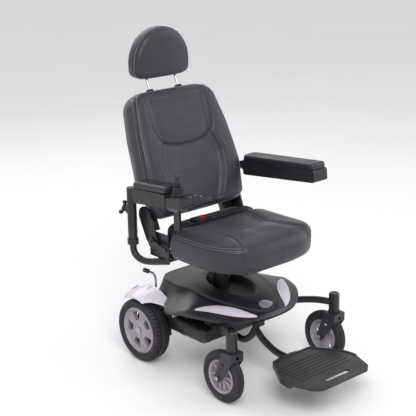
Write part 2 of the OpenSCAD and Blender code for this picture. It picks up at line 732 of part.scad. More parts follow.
// A strap lying along points, flat on the cushion.
module strap(p, w, t) {
  for (i = [0 : len(p) - 2]) hull() for (q = [p[i], p[i + 1]])
    translate(q) cube([0.5, w, t], center = true);
}

belt_y = 150;
module belt(side, stop) {
  z = seat_top + 8;
  edge = seat_half_w - 35;
  color(black) on_side(side) strap([[stop, belt_y, z], [edge - 55, belt_y, z], [edge - 13, belt_y + 3, z],
    [edge - 2, belt_y + 5, z - 7], [edge, belt_y + 8, z - 60]], belt_w, 3);
}

module buckle() {
  z = seat_top + 12;
  color(black) difference() {
    hull() {
      box([-96, belt_y - 26, z - 8], [-36, belt_y + 26, z + 6]);
      box([-100, belt_y - 20, z - 7], [-30, belt_y + 20, z + 8]);
    }
    box([-62, belt_y - 13, z + 2.2], [-40, belt_y + 13, z + 12]);
    box([-32, belt_y - 17, z - 3], [-20, belt_y + 17, z + 3]);
  }
}

module buckle_button() {
  z = seat_top + 12;
  color([0.85, 0.12, 0.08]) box([-61.5, belt_y - 12.5, z + 4.6], [-40.5, belt_y + 12.5, z + 9]);
}

// ---- armrests ----

module arm_frame() {
  translate([0, arm_back, arm_bottom]) rotate([-arm_tilt, 0, 0]) children();
}

module arm_post() {
  h = 706;
  color(black) difference() {
    union() {
      translate([post_x, post_y, 478]) cylinder(d = post_out, h = h - 478, $fn = fine);
      translate([post_x, post_y, 478]) cylinder(d = post_out + 8, h = 22, $fn = fine);
      translate([post_x, post_y + 20, knob_z]) rotate([-90, 0, 0]) cylinder(d = 26, h = 12, $fn = fine);
      box([post_x - 13, post_y + 8, knob_z - 13], [post_x + 13, post_y + 22, knob_z + 13]);
      // tongue to the armrest's pivot
      hull() {
        translate([arm_pivot_x, arm_pivot[1], arm_pivot[2]]) bar_x(26, arm_tongue);
        box([arm_pivot_x - arm_tongue / 2, post_y - 14, 664], [arm_pivot_x + arm_tongue / 2, post_y - 8, h]);
      }
      translate([arm_pivot_x, arm_pivot[1], arm_pivot[2]]) bar_x(arm_pin_d, arm_tongue + 2 * arm_ear + 4);
    }
    translate([post_x, post_y, 470]) cylinder(d = upright_d + 2 * fit, h = 180, $fn = fine);
    translate([post_x, post_y + 12, knob_z]) rotate([-90, 0, 0]) cylinder(d = 8 + 2 * fit, h = 30, $fn = 32);
  }
}

module arm_knob() {
  color(black) translate([post_x, post_y + 32.5, knob_z]) rotate([-90, 0, 0]) {
    cylinder(d = 18, h = 8, $fn = fine);
    translate([0, 0, 7]) linear_extrude(11) offset(-5, $fn = 32) offset(5) {
      circle(d = 24, $fn = 48);
      for (i = [0 : 2]) rotate(i * 120 + 30) {
        translate([24, 0]) circle(d = 14, $fn = 32);
        translate([0, -5]) square([24, 10]);
      }
    }
    translate([0, 0, -12]) cylinder(d = 8, h = 14, $fn = 32);
  }
}

// The armrest's channel, l long, with ears at its back for the pivot.
module arm_channel(l, brace = false) {
  w = arm_w / 2;
  front = arm_h - 8;
  r = 10;
  color(black) difference() {
    union() {
      arm_frame() difference() {
        translate([arm_x, 0, 0]) rotate([90, 0, 90]) translate([0, 0, -w]) linear_extrude(arm_w)
          offset(r, $fn = 32) offset(-r) polygon([[0, 0], [0, arm_h], [-l, front], [-l, 0]]);
        box([arm_x - w + 5, -l + 6, -1], [arm_x + w - 5, -14, front - 8]);
      }
      for (s = [-1, 1]) hull() {
        translate([arm_pivot_x + s * (arm_tongue / 2 + 0.3 + arm_ear / 2), arm_pivot[1], arm_pivot[2]])
          bar_x(26, arm_ear);
        translate([arm_pivot_x + s * (arm_tongue / 2 + 0.3 + arm_ear / 2), arm_back - 8, 708])
          cube([arm_ear, 8, 44], center = true);
      }
      if (brace) box([arm_x - w + 0.4, 44, 590], [arm_x - w + 10.4, 76, 706]);
    }
    translate([arm_pivot_x, arm_pivot[1], arm_pivot[2]]) bar_x(arm_pin_d + 2 * fit, 60);
    box([arm_pivot_x - arm_tongue / 2 - 0.3, arm_back - 2, 660],
      [arm_pivot_x + arm_tongue / 2 + 0.3, 320, 760]);
  }
}

module arm_cushion(l) {
  r = 11;
  taper = atan(8 / arm_l);
  w = arm_w / 2 - r;
  color(black) arm_frame() translate([0, 0, arm_h + 0.2]) rotate([taper, 0, 0]) hull()
    for (x = [-w, w], y = [-r, -l + r]) translate([arm_x + x, y, 0]) {
      cylinder(r = r, h = 1, $fn = 24);
      translate([0, 0, pad_t - r]) sphere(r = r, $fn = 24);
    }
}

right_l = 195;

module arm_pad_right_shape() {
  difference() {
    arm_cushion(right_l + 30);
    translate([stick_x, stick_y, 600]) cylinder(r = boot_d / 2 + 3, h = 300, $fn = fine);
    box([arm_x - 20, -60, 600], [arm_x + 60, stick_y + 4, 900]);
  }
}

// ---- joystick ----

case_bottom = 687;
function case_top(y) = stick_z - 2 + 0.18 * (stick_y - y);
module joystick_case() {
  w = arm_w / 2;
  in = arm_x - w;
  y0 = arm_back - right_l * cos(arm_tilt) - 2;
  color(black) difference() {
    union() {
      hull() {
        translate([in, y0 - 4, 702]) cube([arm_w, 4, case_top(y0) - 702]);
        translate([in, -36, 706]) cube([arm_w, 6, case_top(-36) - 706]);
        translate([in + 12, y0 - 12, case_bottom]) cube([arm_w - 24, 8, 10]);
        translate([in + 12, 0, case_bottom]) cube([arm_w - 24, 8, 10]);
      }
      hull() {
        translate([in, -38, 712]) cube([arm_w, 6, case_top(-38) - 712]);
        translate([in, -112, 750]) cube([42, 6, case_top(-112) - 752]);
        translate([in + 13, -119, case_top(-119) - 9]) cylinder(d = 24, h = 7, $fn = 32);
      }
    }
    translate([stick_x, stick_y, stick_z - 24]) cylinder(d = 40, h = 60, $fn = fine);
    for (i = [0 : 2]) translate(key_at(i) - [0, 0, 3]) cylinder(d = key_d + 2 * fit, h = 30, $fn = 32);
    translate([arm_x, stick_y + 1, case_bottom - 20]) cylinder(d = socket_d, h = 33, $fn = fine);
  }
}

function key_at(i) = let (y = -58 - (i == 1 ? 30 : 0))
  [arm_x - 22 + (i == 2 ? 24 : 0), y, case_top(y) - 5];
module key(i) {
  color(grey) translate(key_at(i)) {
    cylinder(d = key_d, h = 5.5, $fn = 32);
    translate([0, 0, 5.4]) cylinder(d1 = key_d, d2 = key_d - 2, h = 1.6, $fn = 32);
  }
}

module joystick_boot() {
  r = boot_d / 2;
  color(black) translate([stick_x, stick_y, stick_z - 1.5]) rotate_extrude($fn = fine) polygon([
    [20, 0], [r - 2, 0], [r, 4], [r - 5, 9], [r - 2, 13], [r - 8, 18], [r - 5, 22], [r - 10, 26],
    [r - 8, 30], [r - 11, 34], [r - 12, 34], [15, 20], [20, 14]]);
}

module joystick_gimbal() {
  color(grey) translate([stick_x, stick_y, stick_z - 6]) difference() {
    union() {
      cylinder(r = 16, h = 9, center = true, $fn = fine);
      bar_x(5, 39.2, 32);
    }
    cylinder(r = 11, h = 20, center = true, $fn = fine);
    rotate([90, 0, 0]) cylinder(d = 4 + 2 * fit, h = 60, center = true, $fn = 32);
  }
}

module joystick_stick() {
  color(black) translate([stick_x, stick_y, stick_z - 6]) {
    sphere(d = 20, $fn = fine);
    rotate([90, 0, 0]) cylinder(d = 4, h = 31, center = true, $fn = 32);
    cylinder(d = 9, h = stick_l - 20, $fn = fine);
    translate([0, 0, 44]) cylinder(d1 = 12, d2 = stick_d, h = 12, $fn = fine);
    translate([0, 0, 56]) cylinder(d = stick_d, h = stick_l - 60, $fn = fine);
    translate([0, 0, stick_l - 4]) cylinder(d1 = stick_d, d2 = stick_d - 7, h = 6, $fn = fine);
  }
}

// ---- recline lever ----

module recline_lever() {
  x = hinge_x + 9;
  color(black) on_side(-1) difference() {
    union() {
      translate([x, pivot_y, pivot_z]) bar_x(30, 5);
      hull() {
        translate([x, pivot_y, pivot_z]) bar_x(18, 5);
        translate([x, pivot_y - 66, pivot_z - 10]) bar_x(14, 5);
      }
      hull() {
        translate([x + 3, pivot_y - 50, pivot_z - 7]) bar_x(18, 11);
        translate([x + 3, pivot_y - 88, pivot_z - 13]) bar_x(16, 11);
      }
    }
    translate([x - 8, pivot_y, pivot_z]) bar_x(12 + 2 * fit, 30);
  }
}

// ---- backrest ----

module back_place() {
  translate([0, pivot_y, pivot_z]) rotate([-back_lean, 0, 0]) children();
}

back_thick = 120;
back_mid = back_thick / 2 - wing_front;
function back_half(l) = table([[74, 184], [84, 202], [110, 216], [150, 223], [170, 228], [225, back_half_w],
  [400, back_half_w - 16], [505, 207], [525, 200], [545, 186], [560, 166], [back_top, 140]], l);
function back_depth(l) = table([[74, 34], [84, 48], [110, 58], [150, 60], [510, 60], [540, 54], [558, 42],
  [back_top, 24]], l);
module back_cushion() {
  levels = [74, 84, 110, 130, 150, 170, 225, 300, 400, 470, 505, 525, 540, 552, 560, back_top];
  function ring(l) = [for (i = [0 : 71]) let (a = 5 * i, y = back_depth(l) * pw(sin(a), 0.32),
    narrow = 1 - 0.07 * ease((y + 20) / (back_thick * 0.7)))
    [back_half(l) * pw(cos(a), 0.2) * narrow, back_mid + y, l]];
  color(skin_tone) back_place() difference() {
    skin([for (l = levels) ring(l)]);
    for (s = [-1, 1]) {
      translate([s * rod_x, rod_y, 400]) cylinder(r = rod_d / 2 + 5.3, h = 300, $fn = 32);
      box([s * rod_x - 8.3, rod_y, 419.7], [s * rod_x + 8.3, 80, 434.3]);
    }
  }
}

module back_frame() {
  rear = back_thick - wing_front + 0.6;
  plate_x = hinge_x - 0.5;
  module plate() {
    difference() {
      union() {
        translate([plate_x, 0, 0]) bar_x(62, 7);
        hull() {
          translate([plate_x, 4, 20]) bar_x(64, 7);
          translate([plate_x, 6, 104]) bar_x(72, 7);
        }
      }
      translate([plate_x, 0, 0]) bar_x(12 + 2 * fit, 60);
    }
  }
  module sleeve() {
    difference() {
      union() {
        translate([rod_x, rod_y, 410]) cylinder(r = rod_d / 2 + 4, h = back_top - 406, $fn = 32);
        translate([rod_x, rod_y, back_top + 0.5]) cylinder(r1 = 17, r2 = 13, h = 8, $fn = 32);
      }
      translate([rod_x, rod_y, 400]) cylinder(r = rod_d / 2 + fit, h = 300, $fn = 32);
    }
  }
  color(black) back_place() {
    for (s = [-1, 1]) on_side(s) {
      plate();
      sleeve();
    }
    box([-150, rear, 80], [150, rear + 5, back_top - 40]);
    for (s = [-1, 1]) box([s * rod_x - 8, rod_y, 420], [s * rod_x + 8, rear + 1, 434]);
    box([1 - hinge_x, rear + 0.5, 84], [hinge_x - 1, rear + 4.5, 120]);
    for (s = [-1, 1]) on_side(s) box([hinge_x - 72, rear + 0.5, 36], [hinge_x - 1, rear + 4.5, 86]);
  }
}

// ---- headrest ----

module head_pad() {
  widest = 60;
  cz = head_z + widest;
  function out(a, k) = [head_half_w * k * pw(cos(a), sin(a) > 0 ? 1 : 0.36),
    cz + (sin(a) > 0 ? head_h - widest : widest) * k * pw(sin(a), sin(a) > 0 ? 1 : 0.42)];
  rows = [[0, 0.72], [3, 0.88], [10, 0.97], [22, 1], [head_t - 22, 1], [head_t - 9, 0.97],
    [head_t - 2, 0.88], [head_t, 0.7]];
  color(skin_tone) difference() {
    skin([for (r = rows) [for (i = [63 : -1 : 0]) let (p = out(360 * i / 64, r[1])) [p[0], head_y + r[0],
      p[1]]]]);
    back_place() for (s = [-1, 1]) translate([s * rod_x, rod_y, 500])
      cylinder(r = rod_d / 2 + 0.3, h = 186, $fn = 32);
  }
}

module head_rods() {
  color(chrome) back_place() {
    for (s = [-1, 1]) translate([s * rod_x, rod_y, 470]) cylinder(d = rod_d, h = 215, $fn = 32);
    translate([0, rod_y, 679]) bar_x(8, 2 * rod_x, 32);
  }
}

// ---- the parts ----

centred() frame();
centred() caster_arm();  // caster_arm_left
centred() on_side(-1) caster_arm();  // caster_arm_right
centred() shroud();
centred() battery_lid();
centred() accent();  // accent_left
centred() on_side(-1) accent();  // accent_right
centred() badge();
centred() fender();  // fender_left
centred() on_side(-1) fender();  // fender_right
centred() battery();  // battery_left
centred() on_side(-1) battery();  // battery_right
centred() gear_motor();  // motor_left
centred() on_side(-1) gear_motor();  // motor_right
centred() seat_tube();
centred() foot_hanger();
centred() tyre();  // tyre_left
centred() rim();  // rim_left
centred() drive_shaft();  // shaft_left
centred() on_side(-1) tyre();  // tyre_right
centred() on_side(-1) rim();  // rim_right
centred() on_side(-1) drive_shaft();  // shaft_right
centred() fork();  // fork_left
centred() on_side(-1) fork();  // fork_right
centred() caster_tyre();  // caster_tyre_left
centred() caster_rim();  // caster_rim_left
centred() caster_axle();  // caster_axle_left
centred() on_side(-1) caster_tyre();  // caster_tyre_right
centred() on_side(-1) caster_rim();  // caster_rim_right
centred() on_side(-1) caster_axle();  // caster_axle_right
centred() footplate();
centred() seat_post();
centred() seat_frame();
centred() seat_cushion();
centred() belt(1, -24);  // belt_left
centred() belt(-1, 101);  // belt_right
centred() buckle();
centred() buckle_button();
centred() arm_post();  // arm_post_left
centred() on_side(-1) arm_post();  // arm_post_right
centred() arm_knob();  // arm_knob_left
centred() on_side(-1) arm_knob();  // arm_knob_right
centred() arm_channel(arm_l);  // arm_body_left
centred() on_side(-1) arm_channel(right_l, true);  // arm_body_right
centred() arm_cushion(arm_l);  // arm_pad_left
centred() on_side(-1) arm_pad_right_shape();  // arm_pad_right
centred() on_side(-1) joystick_case();
centred() on_side(-1) joystick_boot();
centred() on_side(-1) joystick_gimbal();
centred() on_side(-1) joystick_stick();
centred() on_side(-1) key(0);  // key_power
centred() on_side(-1) key(1);  // key_slower
centred() on_side(-1) key(2);  // key_faster
centred() recline_lever();
centred() back_cushion();
centred() back_frame();
centred() head_pad();
centred() head_rods();
centred() freewheel();  // freewheel_left
centred() on_side(-1) freewheel();  // freewheel_right
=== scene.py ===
# %% [markdown]
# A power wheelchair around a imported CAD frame.
# The CAD model fixes every position. This file gives each part its surface, and remakes the soft
# pieces - cushions, straps, pads and bellows - as numpy surfaces, because upholstery has crowns,
# seams and stitches that a solid model leaves out.

# %% load the frame
import json
import math
import bmesh
import bpy
import numpy as np
from mathutils import Matrix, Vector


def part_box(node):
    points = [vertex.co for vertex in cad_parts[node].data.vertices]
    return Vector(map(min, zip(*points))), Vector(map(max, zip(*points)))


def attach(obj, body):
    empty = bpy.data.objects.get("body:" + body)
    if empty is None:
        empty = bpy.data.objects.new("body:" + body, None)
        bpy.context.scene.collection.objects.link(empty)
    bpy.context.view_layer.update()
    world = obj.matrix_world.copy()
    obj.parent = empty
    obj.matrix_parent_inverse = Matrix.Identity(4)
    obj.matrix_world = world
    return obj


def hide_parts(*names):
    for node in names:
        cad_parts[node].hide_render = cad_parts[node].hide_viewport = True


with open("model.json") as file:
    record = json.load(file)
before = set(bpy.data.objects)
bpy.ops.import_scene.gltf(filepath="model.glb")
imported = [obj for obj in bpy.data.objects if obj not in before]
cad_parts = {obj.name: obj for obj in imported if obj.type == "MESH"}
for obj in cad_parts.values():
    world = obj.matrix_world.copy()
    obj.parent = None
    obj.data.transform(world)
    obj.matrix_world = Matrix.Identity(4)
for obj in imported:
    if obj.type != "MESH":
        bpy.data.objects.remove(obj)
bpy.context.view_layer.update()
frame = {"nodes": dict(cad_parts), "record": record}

# %% the chair's own measure
# Shapes below are written in millimetres, in the drawing's frame, where the drive axle is at y 285.
axle_low, axle_high = (np.array(p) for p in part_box("shaft_left"))
SHIFT = float(axle_low[1] + axle_high[1]) / 2 - 0.285


def metres(points):
    """Millimetres in the drawing's frame to metres in the row frame: divide by 1000, then add the shift in y."""
    p = np.asarray(points, float) / 1000.0
    return p + np.array([0.0, SHIFT, 0.0])


print("shift", round(SHIFT, 5))

# %% [markdown]
# The camera looks at the chair from its front right corner, a little above the seat, through a long lens.

# %% camera
YAW, PITCH, ROLL = 0.7138, math.radians(17.42), math.radians(-0.996)
look = np.array([math.cos(PITCH) * math.sin(YAW), math.cos(PITCH) * math.cos(YAW), -math.sin(PITCH)])
level = np.array([math.cos(YAW), -math.sin(YAW), 0.0])
upward = np.cross(level, look)
right = math.cos(ROLL) * level + math.sin(ROLL) * upward
top = -math.sin(ROLL) * level + math.cos(ROLL) * upward
camera = bpy.data.objects.new("camera", bpy.data.cameras.new("camera"))
camera.data.lens = 96.14
camera.data.sensor_width = 36.0
spot = metres([-2726.7, -3257.3 + 285.0, 1905.4])
pose = np.eye(4)
pose[:3, 0], pose[:3, 1], pose[:3, 2], pose[:3, 3] = right, top, -look, spot
camera.matrix_world = Matrix(pose.tolist())
bpy.context.scene.collection.objects.link(camera)
bpy.context.scene.camera = camera
print("camera at", spot.round(3))

# %% [markdown]
# A studio: one pale floor, a bright even sky and two broad soft lamps, so that black plastic shows
# its form by long soft highlights.

# %% floor and light
def lamp(name, place, target, size, watts):
    """A square area lamp at place, turned to face target."""
    data = bpy.data.lights.new(name, "AREA")
    data.size = size
    data.energy = watts
    obj = bpy.data.objects.new(name, data)
    d = np.array(place, float) - np.array(target, float)
    obj.location = place
    obj.rotation_euler = (math.atan2(math.hypot(d[0], d[1]), d[2]), 0.0, math.atan2(d[1], d[0]) + math.pi / 2)
    bpy.context.scene.collection.objects.link(obj)
    return obj


lamp("key", (-1.8, -2.6, 3.4), (0, 0, 0.6), 2.2, 105)
lamp("fill", (3.2, -1.6, 2.2), (0, 0, 0.6), 2.6, 34)
lamp("back", (0.4, 3.0, 3.0), (0, 0, 0.7), 2.4, 40)
world = bpy.data.worlds.new("studio")
bpy.context.scene.world = world
world.use_nodes = True
world.node_tree.nodes["Background"].inputs["Color"].default_value = (1.0, 0.995, 1.0, 1.0)
world.node_tree.nodes["Background"].inputs["Strength"].default_value = 0.8
bpy.context.scene.view_settings.view_transform = "Standard"
bpy.context.scene.view_settings.look = "None"

# %% [markdown]
# ## Materials
# Every finish is one Principled shader. Object coordinates drive three layers of noise: a slow mottle
# of the colour, a patchy roughness, and a fine bump that is the grain of the moulding, hide or paint.

# %% a material's layers
def linear(srgb):
    """sRGB 0 to 255 to linear light."""
    c = np.asarray(srgb, float) / 255.0
    return tuple(np.where(c <= 0.04045, c / 12.92, ((c + 0.055) / 1.055) ** 2.4))


class Finish:
    """A node tree with a Principled shader, and a few words for adding layers to it."""

    def __init__(self, name, colour, rough, metal=0.0, spec=0.5):
        self.mat = bpy.data.materials.new(name)
        self.mat.use_nodes = True
        self.tree = self.mat.node_tree
        self.shader = self.tree.nodes["Principled BSDF"]
        self.colour = tuple(colour)
        self.set("Base Color", self.colour + (1.0,))
        self.set("Roughness", rough)
        self.set("Metallic", metal)
        self.set("Specular IOR Level", spec)
        self.rough = rough
        self.coords = self.tree.nodes.new("ShaderNodeTexCoord")
        self.heights = []
        self.tint = None

    def set(self, socket, value):
        self.shader.inputs[socket].default_value = value

    def node(self, kind, **values):
        n = self.tree.nodes.new(kind)
        for key, v in values.items():
            if key in n.inputs.keys():
                n.inputs[key].default_value = v
            else:
                setattr(n, key.lower(), v)
        return n

    def link(self, a, b):
        self.tree.links.new(a, b)

    def noise(self, scale, detail=3.0, distort=0.0, stretch=None):
        """Fractal noise on object coordinates, its scale in cells per metre."""
        n = self.node("ShaderNodeTexNoise", Scale=scale, Detail=detail, Distortion=distort)
        source = self.coords.outputs["Object"]
        if stretch:
            m = self.node("ShaderNodeMapping")
            m.inputs["Scale"].default_value = stretch
            self.link(source, m.inputs["Vector"])
            source = m.outputs["Vector"]
        self.link(source, n.inputs["Vector"])
        return n.outputs["Fac"]

    def cells(self, scale, feature="DISTANCE_TO_EDGE"):
        """Voronoi cells on object coordinates: the distance to the nearest wall."""
        n = self.node("ShaderNodeTexVoronoi", Scale=scale)
        n.feature = feature
        self.link(self.coords.outputs["Object"], n.inputs["Vector"])
        return n.outputs["Distance"]

    def span(self, value, low, high, to_low, to_high, smooth=True):
        """value, taken from low..high to to_low..to_high."""
        n = self.node("ShaderNodeMapRange")
        n.interpolation_type = "SMOOTHSTEP" if smooth else "LINEAR"
        for key, v in (("From Min", low), ("From Max", high), ("To Min", to_low), ("To Max", to_high)):
            n.inputs[key].default_value = v
        self.link(value, n.inputs["Value"])
        return n.outputs["Result"]

    def paint(self, fac, colour):
        """Lays colour over what is there already, as much as fac says."""
        n = self.node("ShaderNodeMix")
        n.data_type = "RGBA"
        if self.tint is None:
            n.inputs[6].default_value = self.colour + (1.0,)
        else:
            self.link(self.tint, n.inputs[6])
        n.inputs[7].default_value = tuple(colour) + (1.0,)
        self.link(fac, n.inputs[0])
        self.tint = n.outputs[2]
        self.link(self.tint, self.shader.inputs["Base Color"])

    def roughen(self, fac, low, high):
        self.link(self.span(fac, 0.3, 0.7, low, high), self.shader.inputs["Roughness"])

    def bump(self, height, distance, strength=1.0):
        """Adds a height in metres of distance to the shader's normal, on top of the last one."""
        n = self.node("ShaderNodeBump", Strength=strength, Distance=distance)
        self.link(height, n.inputs["Height"])
        if self.heights:
            self.link(self.heights[-1].outputs["Normal"], n.inputs["Normal"])
        self.heights.append(n)
        self.link(n.outputs["Normal"], self.shader.inputs["Normal"])

    def up(self):
        """1 on faces that look up, 0 on the rest: where dust lies."""
        g = self.node("ShaderNodeNewGeometry")
        s = self.node("ShaderNodeSeparateXYZ")
        self.link(g.outputs["Normal"], s.inputs["Vector"])
        return s.outputs["Z"]

    def times(self, a, b):
        n = self.node("ShaderNodeMath")
        n.operation = "MULTIPLY"
        self.link(a, n.inputs[0])
        if isinstance(b, float):
            n.inputs[1].default_value = b
        else:
            self.link(b, n.inputs[1])
        return n.outputs[0]

    def dust(self, colour, amount, scale=9.0):
        """Fine dust on what faces up, in soft patches."""
        patch = self.span(self.noise(scale, 5.0), 0.35, 0.75, 0.15, 1.0)
        self.paint(self.times(self.times(self.span(self.up(), 0.3, 0.95, 0.0, 1.0), patch), float(amount)), colour)


def mottle(f, scale, darker, lighter, amount=0.6):
    """Two slow patches of a darker and a lighter tone of the finish's own colour."""
    c = np.array(f.colour)
    f.paint(f.span(f.noise(scale, 4.0), 0.45, 0.75, 0.0, amount), tuple(c * lighter))
    f.paint(f.span(f.noise(scale * 1.7, 4.0, 0.3), 0.5, 0.8, 0.0, amount), tuple(c * darker))


FINISH = {}

# %% leatherette
# Charcoal vinyl hide: pebbled cells a millimetre and a half across, fine creases, a soft sheen, and
# slow patches of a lighter, darker and more polished tone.
def leatherette(name, srgb, rough):
    f = Finish(name, linear(srgb), rough, spec=0.42)
    mottle(f, 7.0, 0.84, 1.14, 0.7)
    f.set("Sheen Weight", 0.12)
    f.set("Sheen Roughness", 0.45)
    f.roughen(f.noise(16.0, 5.0), rough - 0.07, rough + 0.08)
    f.bump(f.span(f.cells(620.0), 0.0, 0.32, 0.0, 1.0), 0.00016, 0.55)
    f.bump(f.noise(190.0, 6.0, 0.6), 0.00035, 0.35)
    f.bump(f.noise(26.0, 3.0, 0.4), 0.0016, 0.22)
    return f


FINISH["hide"] = leatherette("charcoal_leatherette", (42, 39, 47), 0.42)
FINISH["hide_side"] = leatherette("gusset_leatherette", (38, 35, 43), 0.46)

# %% thread and piping
f = FINISH["thread"] = Finish("pale_thread", linear((136, 132, 142)), 0.6)
f.paint(f.span(f.noise(900.0, 2.0), 0.4, 0.7, 0.0, 0.6), linear((108, 105, 118)))
f.bump(f.noise(2200.0, 2.0), 0.0002, 0.6)
f = FINISH["welt"] = leatherette("welt_leatherette", (40, 37, 45), 0.36)

# %% moulded plastics
# Shroud plastic is black with a satin spark-eroded texture; the accents are pearl gloss under a
# clear coat; the footplate and controls are plainer black mouldings.
def moulding(name, srgb, rough, grain=900.0, depth=0.00008, dust=0.10, coat=0.0):
    f = Finish(name, linear(srgb), rough, spec=0.5)
    mottle(f, 5.0, 0.88, 1.1, 0.5)
    f.roughen(f.noise(11.0, 6.0), rough - 0.06, rough + 0.09)
    f.bump(f.noise(grain, 3.0), depth, 0.5)
    f.bump(f.noise(14.0, 2.0), 0.0009, 0.10)
    if dust:
        f.dust(linear((112, 108, 112)), dust)
    if coat:
        f.set("Coat Weight", coat)
        f.set("Coat Roughness", 0.08)
    return f


FINISH["shroud"] = moulding("satin_black_moulding", (30, 28, 33), 0.34, 1100.0, 0.00006, 0.07)
FINISH["pearl"] = moulding("pearl_gloss", (205, 200, 212), 0.24, 1500.0, 0.00002, 0.0, 0.5)
FINISH["silver"] = moulding("silver_badge", (128, 125, 133), 0.22, 1500.0, 0.00002, 0.0, 0.5)
FINISH["control"] = moulding("control_black", (30, 28, 33), 0.26, 1300.0, 0.00007, 0.05)
FINISH["foot"] = moulding("footplate_black", (31, 29, 34), 0.44, 420.0, 0.00022, 0.16)
FINISH["battery"] = moulding("battery_case", (30, 30, 33), 0.5, 700.0, 0.00008, 0.12)
FINISH["button"] = moulding("red_button", (172, 30, 27), 0.3, 1500.0, 0.00003, 0.0)
FINISH["keys"] = moulding("grey_keys", (112, 110, 117), 0.42, 1500.0, 0.00004, 0.0)
FINISH["rim"] = moulding("grey_rim", (150, 144, 152), 0.42, 520.0, 0.0001, 0.0)
f = FINISH["rim"]
f.paint(f.span(f.noise(34.0, 6.0), 0.52, 0.8, 0.0, 0.35), linear((120, 114, 112)))

# %% paint, plating, rubber and webbing
def coated_metal(name, srgb, rough, metal=0.0, peel=260.0):
    f = Finish(name, linear(srgb), rough, metal=metal, spec=0.5)
    mottle(f, 8.0, 0.85, 1.15, 0.5)
    f.roughen(f.noise(21.0, 6.0), rough - 0.08, rough + 0.10)
    f.bump(f.noise(peel, 3.0), 0.00025, 0.35)
    f.bump(f.noise(peel * 5.0, 2.0), 0.00005, 0.4)
    scuff = f.span(f.noise(60.0, 8.0, 1.5, (1.0, 1.0, 4.0)), 0.66, 0.74, 0.0, 0.35)
    f.paint(scuff, linear((72, 69, 73)))
    return f


FINISH["frame"] = coated_metal("black_powder_coat", (28, 26, 30), 0.33)
FINISH["arm"] = coated_metal("arm_powder_coat", (29, 27, 32), 0.38)
FINISH["motor"] = coated_metal("motor_paint", (30, 28, 32), 0.34)
FINISH["fork"] = coated_metal("fork_casting", (48, 46, 51), 0.38, 0.25, 420.0)

f = FINISH["plated"] = Finish("bright_plating", linear((176, 175, 181)), 0.14, metal=1.0)
f.roughen(f.noise(40.0, 5.0), 0.09, 0.22)
f.paint(f.span(f.noise(18.0, 4.0), 0.5, 0.8, 0.0, 0.4), linear((140, 139, 146)))
f.bump(f.noise(700.0, 2.0, 0.0, (1.0, 1.0, 6.0)), 0.00003, 0.4)

f = FINISH["tyre"] = Finish("tyre_rubber", linear((35, 33, 37)), 0.62, spec=0.4)
mottle(f, 12.0, 0.8, 1.2, 0.6)
f.roughen(f.noise(30.0, 5.0), 0.5, 0.72)
f.paint(f.span(f.noise(24.0, 7.0, 0.5), 0.55, 0.82, 0.0, 0.35), linear((70, 66, 65)))
f.bump(f.noise(850.0, 3.0), 0.00015, 0.6)
f.bump(f.noise(90.0, 5.0), 0.0006, 0.2)

f = FINISH["pad"] = Finish("arm_pad_skin", linear((34, 32, 38)), 0.34, spec=0.5)
mottle(f, 10.0, 0.85, 1.15, 0.5)
f.roughen(f.noise(18.0, 5.0), 0.3, 0.44)
f.bump(f.cells(800.0), 0.0001, 0.4)
f.bump(f.noise(60.0, 4.0), 0.0006, 0.15)

f = FINISH["bellows"] = Finish("bellows_rubber", linear((24, 23, 26)), 0.55, spec=0.4)
mottle(f, 40.0, 0.8, 1.25, 0.5)
f.roughen(f.noise(60.0, 4.0), 0.46, 0.66)
f.bump(f.noise(1400.0, 2.0), 0.00008, 0.6)

f = FINISH["web"] = Finish("woven_webbing", linear((33, 31, 36)), 0.72, spec=0.3)
uv = f.node("ShaderNodeUVMap")
uv.uv_map = "UVMap"
warp = f.node("ShaderNodeTexWave", Scale=1.0, Distortion=0.4, Detail=1.0)
warp.bands_direction = "DIAGONAL"
f.link(uv.outputs["UV"], warp.inputs["Vector"])
weft = f.node("ShaderNodeTexWave", Scale=2.6, Distortion=0.2, Detail=1.0)
weft.bands_direction = "Y"
f.link(uv.outputs["UV"], weft.inputs["Vector"])
f.paint(f.span(warp.outputs["Fac"], 0.2, 0.9, 0.0, 0.45), linear((20, 19, 22)))
f.paint(f.span(f.noise(30.0, 4.0), 0.5, 0.8, 0.0, 0.4), linear((46, 43, 49)))
f.bump(warp.outputs["Fac"], 0.0005, 0.7)
f.bump(weft.outputs["Fac"], 0.0003, 0.5)

f = FINISH["floor"] = Finish("pale_floor", (0.84, 0.835, 0.85), 0.6, spec=0.3)
f.paint(f.span(f.noise(1.3, 4.0), 0.4, 0.7, 0.0, 0.25), (0.88, 0.875, 0.89))
print(len(FINISH), "finishes")

# %% [markdown]
# ## CAD parts
# Rigid parts keep their CAD shape. A small geometry-nodes modifier joins each one's loose triangles
# and shades it smooth, with edges sharper than 32 degrees left crisp.

